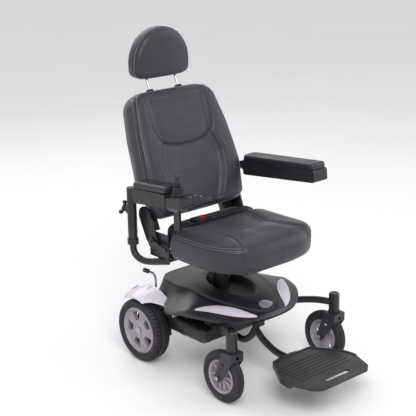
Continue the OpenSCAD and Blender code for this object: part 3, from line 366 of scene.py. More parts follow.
# %% smooth shading for CAD nodes
def crisp_shading():
    """Node group: merge by distance, shade faces smooth, then mark edges over 32 degrees as sharp."""
    g = bpy.data.node_groups.new("crisp_shading", "GeometryNodeTree")
    g.interface.new_socket("Geometry", in_out="INPUT", socket_type="NodeSocketGeometry")
    g.interface.new_socket("Geometry", in_out="OUTPUT", socket_type="NodeSocketGeometry")
    n_in, n_out = g.nodes.new("NodeGroupInput"), g.nodes.new("NodeGroupOutput")
    weld = g.nodes.new("GeometryNodeMergeByDistance")
    weld.inputs["Distance"].default_value = 0.00001
    faces = g.nodes.new("GeometryNodeSetShadeSmooth")
    edges = g.nodes.new("GeometryNodeSetShadeSmooth")
    edges.domain = "EDGE"
    edges.inputs["Shade Smooth"].default_value = False
    angle = g.nodes.new("GeometryNodeInputMeshEdgeAngle")
    over = g.nodes.new("FunctionNodeCompare")
    over.data_type = "FLOAT"
    over.operation = "GREATER_THAN"
    over.inputs["B"].default_value = math.radians(32.0)
    g.links.new(angle.outputs["Unsigned Angle"], over.inputs["A"])
    g.links.new(over.outputs["Result"], edges.inputs["Selection"])
    g.links.new(n_in.outputs[0], weld.inputs["Geometry"])
    g.links.new(weld.outputs["Geometry"], faces.inputs["Geometry"])
    g.links.new(faces.outputs["Geometry"], edges.inputs["Geometry"])
    g.links.new(edges.outputs["Geometry"], n_out.inputs[0])
    return g


CRISP = crisp_shading()
LOOK = {
    "frame_black": "frame", "arm_black": "arm", "shroud_plastic": "shroud", "accent_white": "pearl",
    "badge_silver": "silver", "battery_case": "battery", "motor_case": "motor", "tyre_rubber": "tyre",
    "rim_grey": "rim", "bright_steel": "plated", "fork_metal": "fork", "footplate_plastic": "foot",
    "seat_skin": "hide", "belt_web": "web", "buckle_black": "control", "button_red": "button",
    "pad_skin": "pad", "joystick_plastic": "control", "boot_rubber": "bellows", "key_grey": "keys",
    "knob_plastic": "control",
}
slot_of = {s["node"]: s["material_slot"] for s in frame["record"]["subparts"]}
for name, obj in frame["nodes"].items():
    finish = FINISH[LOOK[slot_of[name]]].mat
    if not obj.data.materials:
        obj.data.materials.append(finish)
    for k in range(len(obj.material_slots)):
        obj.material_slots[k].material = finish
    crisp = obj.modifiers.new("crisp", "NODES")
    crisp.node_group = CRISP
print(len(frame["nodes"]), "CAD nodes dressed")

# %% [markdown]
# ## Surfaces
# A soft piece is a grid of points worked out as whole numpy arrays. `surface` turns the grid into a
# mesh, closing it round and at both ends.

# %% grids to meshes
def surface(name, grid, finish, body, uv=None, ends=True):
    """A closed skin over grid[row, column, xyz] in metres: columns wrap round, and each end row is
    closed by a fan to its mean point."""
    rows, cols = grid.shape[:2]
    verts = grid.reshape(-1, 3)
    r, c = np.meshgrid(np.arange(rows - 1), np.arange(cols), indexing="ij")
    d = (c + 1) % cols
    quads = np.stack([r * cols + c, r * cols + d, (r + 1) * cols + d, (r + 1) * cols + c], -1).reshape(-1, 4)
    faces = quads.tolist()
    if ends:
        verts = np.vstack([verts, grid[0].mean(0), grid[-1].mean(0)])
        i = np.arange(cols)
        j = (i + 1) % cols
        n = rows * cols
        faces += np.stack([j, i, np.full(cols, n)], -1).tolist()
        last = (rows - 1) * cols
        faces += np.stack([last + i, last + j, np.full(cols, n + 1)], -1).tolist()
    mesh = bpy.data.meshes.new(name)
    mesh.from_pydata(verts.tolist(), [], faces)
    mesh.polygons.foreach_set("use_smooth", np.ones(len(mesh.polygons), bool))
    mesh.update()
    bm = bmesh.new()
    bm.from_mesh(mesh)
    bmesh.ops.recalc_face_normals(bm, faces=bm.faces)
    bm.to_mesh(mesh)
    bm.free()
    obj = bpy.data.objects.new(name, mesh)
    bpy.context.scene.collection.objects.link(obj)
    mesh.materials.append(finish.mat)
    if uv is not None:
        layer = mesh.uv_layers.new(name="UVMap")
        index = np.zeros(len(mesh.loops), np.int32)
        mesh.loops.foreach_get("vertex_index", index)
        flat = np.vstack([uv.reshape(-1, 2), uv[0].mean(0), uv[-1].mean(0)])
        layer.data.foreach_set("uv", flat[index].astype(np.float32).ravel())
    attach(obj, body)
    return obj


def signed(x, power):
    """The sign of x times its size to a power."""
    return np.sign(x) * np.abs(x) ** power


def smooth(x):
    """0 below 0, 1 above 1, and 3x^2 - 2x^3 between."""
    x = np.clip(x, 0.0, 1.0)
    return x * x * (3.0 - 2.0 * x)


def evenly(points, count):
    """count points spread evenly by length along a closed line of points."""
    closed = np.vstack([points, points[:1]])
    run = np.concatenate([[0.0], np.cumsum(np.linalg.norm(np.diff(closed, axis=0), axis=1))])
    at = np.linspace(0.0, run[-1], count, endpoint=False)
    return np.stack([np.interp(at, run, closed[:, k]) for k in range(closed.shape[1])], -1)


def along(points, spacing):
    """Points a spacing apart by length along an open line of points."""
    points = np.asarray(points, float)
    run = np.concatenate([[0.0], np.cumsum(np.linalg.norm(np.diff(points, axis=0), axis=1))])
    at = np.arange(0.0, run[-1], spacing)
    return np.stack([np.interp(at, run, points[:, k]) for k in range(points.shape[1])], -1)


def nearest(points, line):
    """Distance from each 2-D point to a line of points, and how far along the line it is nearest."""
    run = np.concatenate([[0.0], np.cumsum(np.linalg.norm(np.diff(line, axis=0), axis=1))])
    out_d, out_s = np.empty(len(points)), np.empty(len(points))
    a, v = line[:-1], np.diff(line, axis=0)
    size = (v * v).sum(1) + 1e-12
    for k in range(0, len(points), 8000):
        q = points[k:k + 8000, None, :] - a[None]
        t = np.clip((q * v[None]).sum(2) / size, 0.0, 1.0)
        d = np.linalg.norm(q - t[..., None] * v[None], axis=2)
        best = d.argmin(1)
        rows = np.arange(len(best))
        out_d[k:k + 8000] = d[rows, best]
        out_s[k:k + 8000] = run[best] + t[rows, best] * np.sqrt(size[best])
    return out_d, out_s


def seam(d, s, width=3.0, depth=4.0, pucker=0.7):
    """Depth of a sewn seam at distance d: a narrow valley, with small puckers along s that fade out."""
    valley = depth * np.exp(-(d / width) ** 2)
    waves = pucker * np.sin(s / 9.0 * 2 * np.pi + 1.3 * np.sin(s / 37.0)) * np.exp(-(d / 9.0) ** 2)
    return valley + waves * (d > 1.0)


def rope(name, line, radius, finish, body, sides=10, closed=False):
    """A round cord of one radius carried along a line of points in metres, its frame set square to one fixed direction.
    """
    line = np.asarray(line, float)
    if closed:
        t = np.roll(line, -1, 0) - np.roll(line, 1, 0)
    else:
        t = np.gradient(line, axis=0)
    t /= np.linalg.norm(t, axis=1)[:, None] + 1e-12
    u = np.cross(t, [0.31, 0.27, 0.91])
    u /= np.linalg.norm(u, axis=1)[:, None] + 1e-12
    v = np.cross(t, u)
    a = np.linspace(0, 2 * np.pi, sides, endpoint=False)
    grid = line[:, None] + radius * (np.cos(a)[None, :, None] * u[:, None] + np.sin(a)[None, :, None] * v[:, None])
    if closed:
        grid = np.vstack([grid, grid[:1]])
    return surface(name, grid, finish, body)


def stitches(name, lines, body, pitch=0.0068, length=0.0046, radius=0.00075, lift=0.0006):
    """Short lengths of thread along lines of (points, normals): each is a six-sided spindle, half sunk in the hide."""
    verts, faces, base = [], [], 0
    s = np.array([-0.5, -0.32, 0.32, 0.5])
    w = np.array([0.35, 1.0, 1.0, 0.35])
    a = np.linspace(0, 2 * np.pi, 6, endpoint=False)
    ring = [[6 * k + i, 6 * k + (i + 1) % 6, 6 * (k + 1) + (i + 1) % 6, 6 * (k + 1) + i]
            for k in range(3) for i in range(6)]
    ring += [[5, 4, 3, 2, 1, 0], [18, 19, 20, 21, 22, 23]]
    for points, normals in lines:
        both = along(np.hstack([points, normals]), pitch)
        p, n = both[:, :3], both[:, 3:]
        n = n / (np.linalg.norm(n, axis=1)[:, None] + 1e-12)
        t = np.gradient(p, axis=0)
        t /= np.linalg.norm(t, axis=1)[:, None] + 1e-12
        b = np.cross(n, t)
        shape = (p[:, None, None] + n[:, None, None] * lift + t[:, None, None] * (s * length)[None, :, None, None]
                 + radius * w[None, :, None, None] * (np.cos(a)[None, None, :, None] * n[:, None, None]
                                                      + np.sin(a)[None, None, :, None] * b[:, None, None]))
        verts.append(shape.reshape(-1, 3))
        count = len(p)
        faces += (np.array(ring[:-2])[None] + (base + 24 * np.arange(count))[:, None, None]).reshape(-1, 4).tolist()
        faces += (np.array(ring[-2:])[None] + (base + 24 * np.arange(count))[:, None, None]).reshape(-1, 6).tolist()
        base += 24 * count
    mesh = bpy.data.meshes.new(name)
    mesh.from_pydata(np.vstack(verts).tolist(), [], faces)
    bm = bmesh.new()
    bm.from_mesh(mesh)
    bmesh.ops.recalc_face_normals(bm, faces=bm.faces)
    bm.to_mesh(mesh)
    bm.free()
    mesh.polygons.foreach_set("use_smooth", np.ones(len(mesh.polygons), bool))
    obj = bpy.data.objects.new(name, mesh)
    bpy.context.scene.collection.objects.link(obj)
    mesh.materials.append(FINISH["thread"].mat)
    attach(obj, body)
    print(name, base // 24, "stitches")
    return obj


def normals_of(grid):
    """Unit normals of a grid of points, from the cross product of its two differences."""
    du = np.roll(grid, -1, 1) - np.roll(grid, 1, 1)
    dv = np.gradient(grid, axis=0)
    n = np.cross(du, dv)
    return n / (np.linalg.norm(n, axis=2)[..., None] + 1e-12)


# %% [markdown]
# ## Seat cushion
# A moulded foam seat in vinyl: the side band is sewn to the top with a double row of stitches, the
# front rolls over in one sweep between two corner seams, and a centre panel is let in between side
# bolsters. The skin runs from the middle of the bottom, out, up the side and back to the top's middle.

# %% seat cushion outline and skin
SEAT_LOW, SEAT_HIGH = (np.array(p) * 1000.0 - [0, SHIFT * 1000.0, 0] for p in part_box("seat_cushion"))
SEAT_HALF, SEAT_FRONT, SEAT_REAR = SEAT_HIGH[0], -SEAT_LOW[1], SEAT_HIGH[1]
SEAT_BOTTOM, SEAT_TOP = SEAT_LOW[2], SEAT_LOW[2] + 103.0


def seat_outline(count):
    """The seat's outline: a superellipse of power 3.4 in front and 7 behind, narrower where the recline hinges are."""
    g = np.linspace(0, 1, 900, endpoint=False)
    bend = np.where(g < 0.5, 0.5 * (2 * g) ** 5, 1 - 0.5 * (2 * (1 - g)) ** 5)
    a = (np.arange(4)[:, None] + bend[None]).ravel() * np.pi / 2
    c, s = np.cos(a), np.sin(a)
    front = c > 0
    y = np.where(front, -SEAT_FRONT * np.abs(c) ** (2 / 3.4), SEAT_REAR * np.abs(c) ** (2 / 7))
    half = np.where(front, SEAT_HALF, SEAT_HALF - 42 * smooth((y - 112) / 12))
    x = half * signed(s, np.where(front, 2 / 3.4, 2 / 7))
    return evenly(np.stack([x, y], -1), count)


def profile_rows(points, count=168):
    """A profile of (how far out, how high) rows resampled evenly by length, its corners rounded by a short mean."""
    p = np.asarray(points, float)
    run = np.concatenate([[0], np.cumsum(np.hypot(np.diff(p[:, 0]) * 240, np.diff(p[:, 1])))])
    at = np.concatenate([np.linspace(0, run[3], 6, endpoint=False), np.linspace(run[3], run[-1], count)])
    k, z = np.interp(at, run, p[:, 0]), np.interp(at, run, p[:, 1])
    mean = np.ones(5) / 5
    k[2:-2], z[2:-2] = np.convolve(k, mean, "valid"), np.convolve(z, mean, "valid")
    return k[:, None], z[:, None]


outline = seat_outline(620)
# from the bottom's middle to the top's middle: the sides have a sewn edge, the front rolls over in one sweep
SIDE_K, SIDE_Z = profile_rows([
    [0.00, 3], [0.30, 2], [0.60, 1], [0.84, 0], [0.91, 0.6], [0.947, 3.5], [0.970, 8.5], [0.983, 15], [0.992, 25],
    [0.998, 40], [1.000, 60], [0.9995, 78], [0.997, 88], [0.992, 94], [0.984, 98.4], [0.972, 101.4],
    [0.953, 104.0], [0.925, 106.0], [0.88, 107.6], [0.80, 109.0], [0.6, 110.0], [0.3, 110.0], [0.0, 110.0]])
ROLL_K, ROLL_Z = profile_rows([
    [0.00, 3], [0.30, 2], [0.60, 1], [0.84, 0], [0.91, 0.6], [0.947, 3.5], [0.970, 8.5], [0.985, 15], [0.996, 25],
    [1.003, 40], [1.004, 54], [0.999, 66], [0.988, 77], [0.971, 86], [0.948, 93], [0.918, 99],
    [0.88, 103.5], [0.84, 106.5], [0.79, 108.8], [0.72, 110.6], [0.6, 111.5], [0.3, 110.6], [0.0, 110.0]])
roll = smooth((-outline[None, :, 1] - 196.0) / 26.0) * smooth((182.0 - np.abs(outline[None, :, 0])) / 30.0)
K = SIDE_K + (ROLL_K - SIDE_K) * roll
Z = SIDE_Z + (ROLL_Z - SIDE_Z) * roll
X = outline[None, :, 0] * K
Y = outline[None, :, 1] * K
rise = 8.0 * smooth(-outline[None, :, 1] / 240.0)
Zt = SEAT_BOTTOM + Z + rise * np.ones_like(K)
on_top = smooth((Z - 100) / 6.0)
Zt -= on_top * 6.0 * np.exp(-(X / 95.0) ** 2 - ((Y - 60.0) / 110.0) ** 2)
top_points = np.stack([X, Y], -1).reshape(-1, 2)
# the bolsters' inner seams bow in beside the thighs and run out to the front corners
CORNER = np.array([174.0, -211.0])
bow = np.array([[166, 216], [156, 130], [146, 50], [126, -18], [117, -50], [122, -100], [146, -168], CORNER * 0.985])
bow = np.stack([np.interp(np.linspace(0, 7, 90), np.arange(8), bow[:, k]) for k in (0, 1)], -1)
soft11 = np.ones(11) / 11
bow[5:-5] = np.stack([np.convolve(bow[:, k], soft11, "valid") for k in (0, 1)], -1)
drop = np.zeros_like(X)
for side in (-1, 1):
    d, s = nearest(top_points, bow * [side, 1])
    drop = np.maximum(drop, seam(d.reshape(X.shape), s.reshape(X.shape), 2.3, 4.6, 0.6))
# the centre panel ends in front at a shallow cross seam, and lies a little lower than the rest
t = np.linspace(-1, 1, 60)
cross_seam = np.stack([119.0 * t, -36.0 - 12.0 * (1 - t * t)], -1)
d, s = nearest(top_points, cross_seam)
drop = np.maximum(drop, seam(d.reshape(X.shape), s.reshape(X.shape), 2.4, 3.6, 0.5))
inner_x = np.interp(-Y, -bow[:, 1], bow[:, 0])
centre = smooth((inner_x - np.abs(X)) / 26.0) * smooth((Y + 44.0) / 26.0)
drop += 5.0 * centre
# fuller bolsters, and thighs that swell between the cross seam and the roll
beside = smooth((np.abs(X) - inner_x) / 26.0) * smooth((226.0 - np.abs(X)) / 34.0)
drop -= 5.0 * beside * smooth((Y + 215.0) / 60.0)
drop -= 4.0 * np.exp(-((np.abs(X) - 62.0) / 44.0) ** 2 - ((Y + 112.0) / 46.0) ** 2)
Zt -= on_top * drop
# the side band: crowned between its seams, with an upright seam at each front corner
sewn = 1.0 - roll
wall = smooth((Z - 8) / 14.0) * (smooth((97.0 - Z) / 9.0) * sewn + smooth((90.0 - Z) / 30.0) * roll)
out = np.stack([X, Y], -1) / (np.linalg.norm(np.stack([X, Y], -1), axis=-1)[..., None] + 1e-9)
push = wall * 2.6 - 3.2 * sewn * np.exp(-((Z - 98.6) / 1.9) ** 2)
ring_s = np.concatenate([[0], np.cumsum(np.linalg.norm(np.diff(outline, axis=0), axis=1))])
corners = [int(np.argmin(np.linalg.norm(outline - CORNER * [side, 1], axis=1))) for side in (1, -1)]
for i in corners:
    away = np.abs(ring_s - ring_s[i])[None]
    push -= smooth((Z - 8) / 14.0) * smooth((104.0 - Z) / 6.0) * seam(away, np.broadcast_to(Z, X.shape), 2.2, 4.0, 0.5)
push += wall * 0.6 * np.sin(ring_s / 47.0 + 1.0)[None] * np.sin(Z / 31.0)
push -= 0.8 * sewn * np.exp(-((Z - 98.6) / 10.0) ** 2) * (0.5 + 0.5 * np.sin(ring_s / 9.0 * 2 * np.pi))[None]
X, Y = X + out[..., 0] * push, Y + out[..., 1] * push
seat_grid = metres(np.stack([X, Y, Zt], -1))
seat = surface("seat_upholstery", seat_grid, FINISH["hide"], "seat")
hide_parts("seat_cushion")
print("seat", len(seat.data.polygons), "faces")

# %% seat stitching
seat_n = normals_of(seat_grid)
seat_n *= np.sign((seat_n[60:110] * (seat_grid[60:110] - seat_grid.mean((0, 1)))).sum())


def seat_row(height):
    """The side band's skin at a height, from one front corner round the back to the other, and its normals."""
    i = int(np.argmin(np.abs(SIDE_Z[:, 0] - height) + 100.0 * (SIDE_K[:, 0] < 0.9)))
    span = slice(corners[0] + 3, corners[1] - 2)
    return seat_grid[i, span], seat_n[i, span]


stitches("seat_stitching", [seat_row(94.6), seat_row(101.8)], "seat")

# %% [markdown]
# ## Backrest
# A captain's back: side bolsters that come forward of a centre column, an inset shoulder panel shaped
# like a shield, and a gusset round the sides behind a double-stitched piping. Its skin is a stack of
# rounded rectangles along the back, and the front is then pushed in and out.

# %% backrest skin
LEAN = math.radians(22.8)
PIVOT = np.array([0.0, 235.0, 502.0])


def lean_back(p):
    """Points (x, depth, length along the back) turned by the lean about the recline pivot, in millimetres."""
    p = np.asarray(p, float)
    y = p[..., 1] * math.cos(LEAN) + p[..., 2] * math.sin(LEAN)
    z = -p[..., 1] * math.sin(LEAN) + p[..., 2] * math.cos(LEAN)
    return np.stack([p[..., 0], PIVOT[1] + y, PIVOT[2] + z], -1)


def box_ring():
    """A rounded rectangle's points as four weights: x = a*(W-Rx) + b*Rx and y = c*(D-Ry) + d*Ry, going round from the middle of the front."""
    def flat(n, a0, a1, c0, c1, b, dd):
        t = np.linspace(0, 1, n, endpoint=False)
        return np.stack([a0 + (a1 - a0) * t, np.full(n, b), c0 + (c1 - c0) * t, np.full(n, dd)], -1)

    def bend(n, t0, t1, a, c):
        t = np.linspace(t0, t1, n, endpoint=False)
        return np.stack([np.full(n, a), np.sin(t), np.full(n, c), -np.cos(t)], -1)

    h = np.pi / 2
    return np.vstack([
        flat(84, 0, 1, -1, -1, 0, -1), bend(20, 0, h, 1, -1), flat(22, 1, 1, -1, 1, 1, 0), bend(14, h, 2 * h, 1, 1),
        flat(60, 1, -1, 1, 1, 0, 1), bend(14, 2 * h, 3 * h, -1, 1), flat(22, -1, -1, 1, -1, -1, 0),
        bend(20, 3 * h, 4 * h, -1, -1), flat(84, -1, 0, -1, -1, 0, -1)])


RING = box_ring()
TOP_L = 568.0
lengths = np.concatenate([np.linspace(74, 110, 18, endpoint=False), np.linspace(110, 520, 170, endpoint=False), np.linspace(520, TOP_L - 2, 30)])
half = np.interp(lengths, [74, 80, 90, 110, 150, 170, 225, 400, 505, 525, 545, 558, 566],
                 [186, 199, 210, 219, 225, 229, 243, 227, 208, 201, 188, 170, 148])
deep = np.interp(lengths, [74, 80, 90, 110, 150, 510, 535, 552, 562, 566], [30, 44, 53, 58.5, 60, 60, 56.5, 48, 36, 26])
soft = np.ones(9) / 9
half[4:-4] = np.convolve(half, soft, "valid")
W, D, L = half[:, None], deep[:, None], lengths[:, None] * np.ones((1, len(RING)))
Rx, Ry = np.minimum(46.0, W * 0.5), np.minimum(26.0, D * 0.8)
bx = RING[None, :, 0] * (W - Rx) + RING[None, :, 1] * Rx
by = RING[None, :, 2] * (D - Ry) + RING[None, :, 3] * Ry
bx *= 1 - 0.05 * smooth((by + 10) / 70.0)
MID = -28.0
facing = smooth((-by - 0.45 * D) / (0.4 * D))
# centre column, narrower where the shoulder panel's foot meets it
column = np.interp(L, [74, 103, 150, 202, 250, 276, 305, 357, 400, 548], [84, 94, 117, 138, 147, 148, 142, 127, 142, 148])
edge = np.abs(bx) - column
recess = 15.0 * smooth(-edge / 34.0 + 0.35) * smooth((560 - L) / 60.0)
lines_d = seam(np.abs(edge), L, 3.0, 4.2, 0.7)
half_shield = np.array([[145, 560], [150, 520], [154, 485], [152, 450], [147, 415], [138, 386], [122, 361], [97, 347], [55, 339], [0, 336]])
shield = along(np.vstack([half_shield, half_shield[-2::-1] * [-1, 1]]), 4.0)
shield[6:-6] = np.stack([np.convolve(shield[:, k], np.ones(13) / 13, "valid") for k in (0, 1)], -1)
front_points = np.stack([bx, L], -1).reshape(-1, 2)
d, s = nearest(front_points, shield)
d, s = d.reshape(bx.shape), s.reshape(bx.shape)
foot = np.interp(np.abs(bx), half_shield[::-1, 0][:7], half_shield[::-1, 1][:7])
in_shield = (np.abs(bx) < 150) & (L > foot)
puff = np.where(in_shield, 7.0 * (1 - np.exp(-d / 24.0)), 3.0 * (1 - np.exp(-d / 30.0)))
inset = recess + seam(d, s, 3.2, 5.4, 0.9) * (np.abs(bx) < 158) + lines_d * (L < 360) * smooth((L - 84) / 20) - puff * smooth((552 - L) / 30.0)
inset += 5.0 * np.exp(-((L - 215.0) / 90.0) ** 2) * smooth((120 - np.abs(bx)) / 90.0)
by = by + facing * inset
# bolsters: fuller in their middle
by -= facing * 5.0 * smooth(edge / 22.0) * smooth((235 - np.abs(bx)) / 14.0) * np.sin(np.pi * np.clip((L - 74) / 480.0, 0, 1))
# piping valley where the front meets the gusset, and the gusset's slight crown
columns = np.arange(len(RING))
welt_at = [84 + 13, len(RING) - (84 + 13) - 1]
for i in welt_at:
    away = np.abs(columns - i)[None] * 2.6
    valley = 2.6 * np.exp(-(away / 3.0) ** 2) * smooth((L - 90) / 20) * smooth((556 - L) / 16)
    bx -= np.sign(bx) * valley * 0.7
    by += valley * 0.7
side_band = (np.abs(RING[:, 2]) < 1)[None]
bx += np.sign(bx) * side_band * 2.0 * np.sin(np.pi * (RING[None, :, 2] + 1) / 2) * (0.8 + 0.2 * np.sin(L / 33.0))
back_flat = np.stack([bx, MID + by, L], -1)
# close the bottom and top with rings that shrink towards the middle and stand a little proud
def caps(ring, steps, rise):
    """Copies of a ring shrunk towards its middle by each step, rising in a shallow dome."""
    centre = ring.mean(0)
    out = []
    for k in steps:
        r = centre + (ring - centre) * k
        r[:, 2] = ring[:, 2] + rise * (1 - k * k)
        out.append(r)
    return np.array(out)


low_cap = caps(back_flat[0], np.array([0.05, 0.3, 0.55, 0.75, 0.88, 0.96]), -2.0)
top_cap = caps(back_flat[-1], np.array([0.97, 0.9, 0.78, 0.6, 0.35, 0.06]), 2.0)
back_grid = metres(lean_back(np.vstack([low_cap, back_flat, top_cap])))
back = surface("back_upholstery", back_grid, FINISH["hide"], "backrest")
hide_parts("back_cushion")
print("back", len(back.data.polygons), "faces")

# %% backrest piping and stitching
back_n = normals_of(back_grid)
centre_line = metres(lean_back(np.stack([np.zeros(len(lengths)), np.full(len(lengths), MID), lengths], -1)))
body_rows = slice(6, 6 + len(lengths))
if ((back_grid[body_rows] - centre_line[:, None]) * back_n[body_rows]).sum() < 0:
    back_n = -back_n
rows = np.arange(6 + 12, 6 + len(lengths) - 8)
lines = []
for i in welt_at:
    for step in (-3, 3):
        lines.append((back_grid[rows, i + step], back_n[rows, i + step]))
over = 6 + len(lengths) - 9
lines.append((back_grid[over, 97:len(RING) - 97], back_n[over, 97:len(RING) - 97]))
stitches("back_stitching", lines, "backrest")
for k, i in enumerate(welt_at):
    line = back_grid[rows, i] + back_n[rows, i] * 0.0004
    rope("back_piping_%d" % k, line, 0.0022, FINISH["welt"], "backrest")

# %% [markdown]
# ## Headrest
# A pad with a flat-bottomed dome outline, sewn to a gusset with a stitched seam round its front.

# %% headrest skin
def head_outline(count):
    """The dome: wide superellipses of different power above and below the pad's widest line."""
    g = np.linspace(0, 1, 700, endpoint=False)
    bend = np.where(g < 0.5, 0.5 * (2 * g) ** 3, 1 - 0.5 * (2 * (1 - g)) ** 3)
    a = (np.arange(4)[:, None] + bend[None]).ravel() * np.pi / 2
    c, s = np.cos(a), np.sin(a)
    x = HEAD_HALF * signed(c, np.where(s > 0, 1.0, 0.36))
    z = np.where(s > 0, HEAD_TALL - 60.0, 60.0) * signed(s, np.where(s > 0, 1.0, 0.42))
    return evenly(np.stack([x, z], -1), count)


HEAD_LOW, HEAD_HIGH = (np.array(p) * 1000.0 - [0, SHIFT * 1000.0, 0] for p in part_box("head_pad"))
HEAD_HALF, HEAD_TALL, HEAD_THICK = HEAD_HIGH[0], HEAD_HIGH[2] - HEAD_LOW[2], HEAD_HIGH[1] - HEAD_LOW[1]
ring = head_outline(420)
prof = np.array([[0.0, -3], [0.3, -2.6], [0.55, -1.2], [0.72, 0.5], [0.84, 3], [0.915, 7], [0.95, 12], [0.972, 18], [0.988, 26],
                 [1.0, 38], [1.0, 50], [0.99, 62], [0.97, 71], [0.93, 78], [0.86, 82.5], [0.7, 84.6], [0.4, 85], [0.0, 85]])
run = np.concatenate([[0], np.cumsum(np.hypot(np.diff(prof[:, 0]) * 120, np.diff(prof[:, 1])))])
at = np.linspace(0, run[-1], 130)
hk, hd = np.interp(at, run, prof[:, 0])[:, None], np.interp(at, run, prof[:, 1])[:, None]
hk[2:-2, 0] = np.convolve(hk[:, 0], np.ones(5) / 5, "valid")
hd[2:-2, 0] = np.convolve(hd[:, 0], np.ones(5) / 5, "valid")
head_mid = HEAD_LOW[2] + 60.0
ring_run = np.concatenate([[0], np.cumsum(np.linalg.norm(np.diff(ring, axis=0), axis=1))])[None]
pinch = 2.6 * np.exp(-((hd - 20.0) / 2.2) ** 2) * np.ones_like(ring_run)
pinch += 0.8 * np.exp(-((hd - 20.0) / 8.0) ** 2) * np.sin(ring_run / 9.0 * 2 * np.pi)
pinch += 2.0 * np.exp(-((hd - 66.0) / 2.4) ** 2)
size = np.linalg.norm(ring, axis=1)[None]
scale = hk - pinch / size * (hk > 0.9)
hx = ring[None, :, 0] * scale
hz = head_mid + ring[None, :, 1] * scale
hy = HEAD_LOW[1] + 3.0 + hd * (HEAD_THICK - 3.0) / 85.0 + 6.0 * (hx / HEAD_HALF) ** 2 * (hd < 40) * smooth((40 - hd) / 30) - 1.0
hy = np.maximum(hy, HEAD_LOW[1] - 1.5)
head_grid = metres(np.stack([hx, hy, hz], -1))
head = surface("head_upholstery", head_grid, FINISH["hide"], "headrest")
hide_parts("head_pad")
head_n = normals_of(head_grid)
if ((head_grid - head_grid.mean((0, 1))) * head_n).sum() < 0:
    head_n = -head_n


def head_row(depth):
    i = int(np.argmin(np.abs(hd[:, 0] - depth)))
    return np.vstack([head_grid[i], head_grid[i, :1]]), np.vstack([head_n[i], head_n[i, :1]])


stitches("head_stitching", [head_row(25.5)], "headrest")
print("head", len(head.data.polygons), "faces")

# %% [markdown]
# ## Lap belt
# Woven webbing lies over the rear of the seat: each half is a thin band carried along a draped line,
# with the weave on its own UV map and a stitched end.

# %% belts
def draped(points, steps=40):
    """A smooth line through points: cubic spans with each knot's slope taken from its neighbours."""
    p = np.asarray(points, float)
    t = np.linspace(0, len(p) - 1, steps)
    i = np.minimum(t.astype(int), len(p) - 2)
    u = (t - i)[:, None]
    slope = np.gradient(p, axis=0)
    a, b, m, n = p[i], p[i + 1], slope[i], slope[i + 1]
    return (2 * u**3 - 3 * u**2 + 1) * a + (u**3 - 2 * u**2 + u) * m + (-2 * u**3 + 3 * u**2) * b + (u**3 - u**2) * n


def webbing(name, line, across, width, thick, body):
    """A flat band along a line: its section is a rounded slab as wide as across points, slightly cupped."""
    line = np.asarray(line, float)
    t = np.gradient(line, axis=0)
    t /= np.linalg.norm(t, axis=1)[:, None]
    b = np.tile(np.asarray(across, float), (len(line), 1))
    n = np.cross(t, b)
    n /= np.linalg.norm(n, axis=1)[:, None]
    a = np.linspace(0, 2 * np.pi, 36, endpoint=False)
    w = width / 2 * signed(np.cos(a), 0.35)
    h = thick / 2 * signed(np.sin(a), 0.6) + 0.6 * (1 - (w / (width / 2)) ** 2)
    grid = line[:, None] + w[None, :, None] * b[:, None] + h[None, :, None] * n[:, None]
    run_mm = np.concatenate([[0], np.cumsum(np.linalg.norm(np.diff(line, axis=0), axis=1))])
    uv = np.stack([np.broadcast_to(w[None] / 2.0, grid.shape[:2]), np.broadcast_to(run_mm[:, None] / 2.0, grid.shape[:2])], -1)
    return surface(name, metres(grid), FINISH["web"], body, uv=uv)


BELT_Y = 150.0
lie = SEAT_TOP + 8.0
for side, name, stop in ((1, "left", -32.0), (-1, "right", -98.0)):
    low, high = (np.array(p) * 1000.0 - [0, SHIFT * 1000.0, 0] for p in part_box("belt_" + name))
    inner = low[0] if side > 0 else high[0]
    outer = high[0] if side > 0 else low[0]
    z = high[2] - 2.0
    line = draped([[inner, BELT_Y, z - 0.5], [inner + 0.3 * (outer - inner), BELT_Y, z + 0.3], [inner + 0.7 * (outer - inner), BELT_Y + 1, z],
                   [outer - side * 15, BELT_Y + 3, z - 1], [outer - side * 5, BELT_Y + 5, z - 6], [outer - side * 1.6, BELT_Y + 7, z - 22],
                   [outer - side * 1.6, BELT_Y + 8, low[2] + 2]], 70)
    band = webbing("belt_band_" + name, line, [0, 1, 0], 45.0, 2.2, "seat")
    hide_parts("belt_" + name)
    n = np.tile([0, 0, 1.0], (2, 1))
    rows_x = [inner + side * 24, inner + side * 30] if side > 0 else [inner - 8, inner - 14]
    lines = [(metres([[x, BELT_Y - 19, z + 1.7], [x, BELT_Y + 19, z + 1.7]]), n) for x in rows_x]
    stitches("belt_stitching_" + name, lines, "seat", 0.0045, 0.003, 0.0005, 0.0002)

# %% [markdown]
# ## Arm pads
# Moulded polyurethane: a long rounded loaf with a slight crown and a parting line low on its side.

# %% arm pads
ARM_TILT = math.radians(6.3 - 1.15)


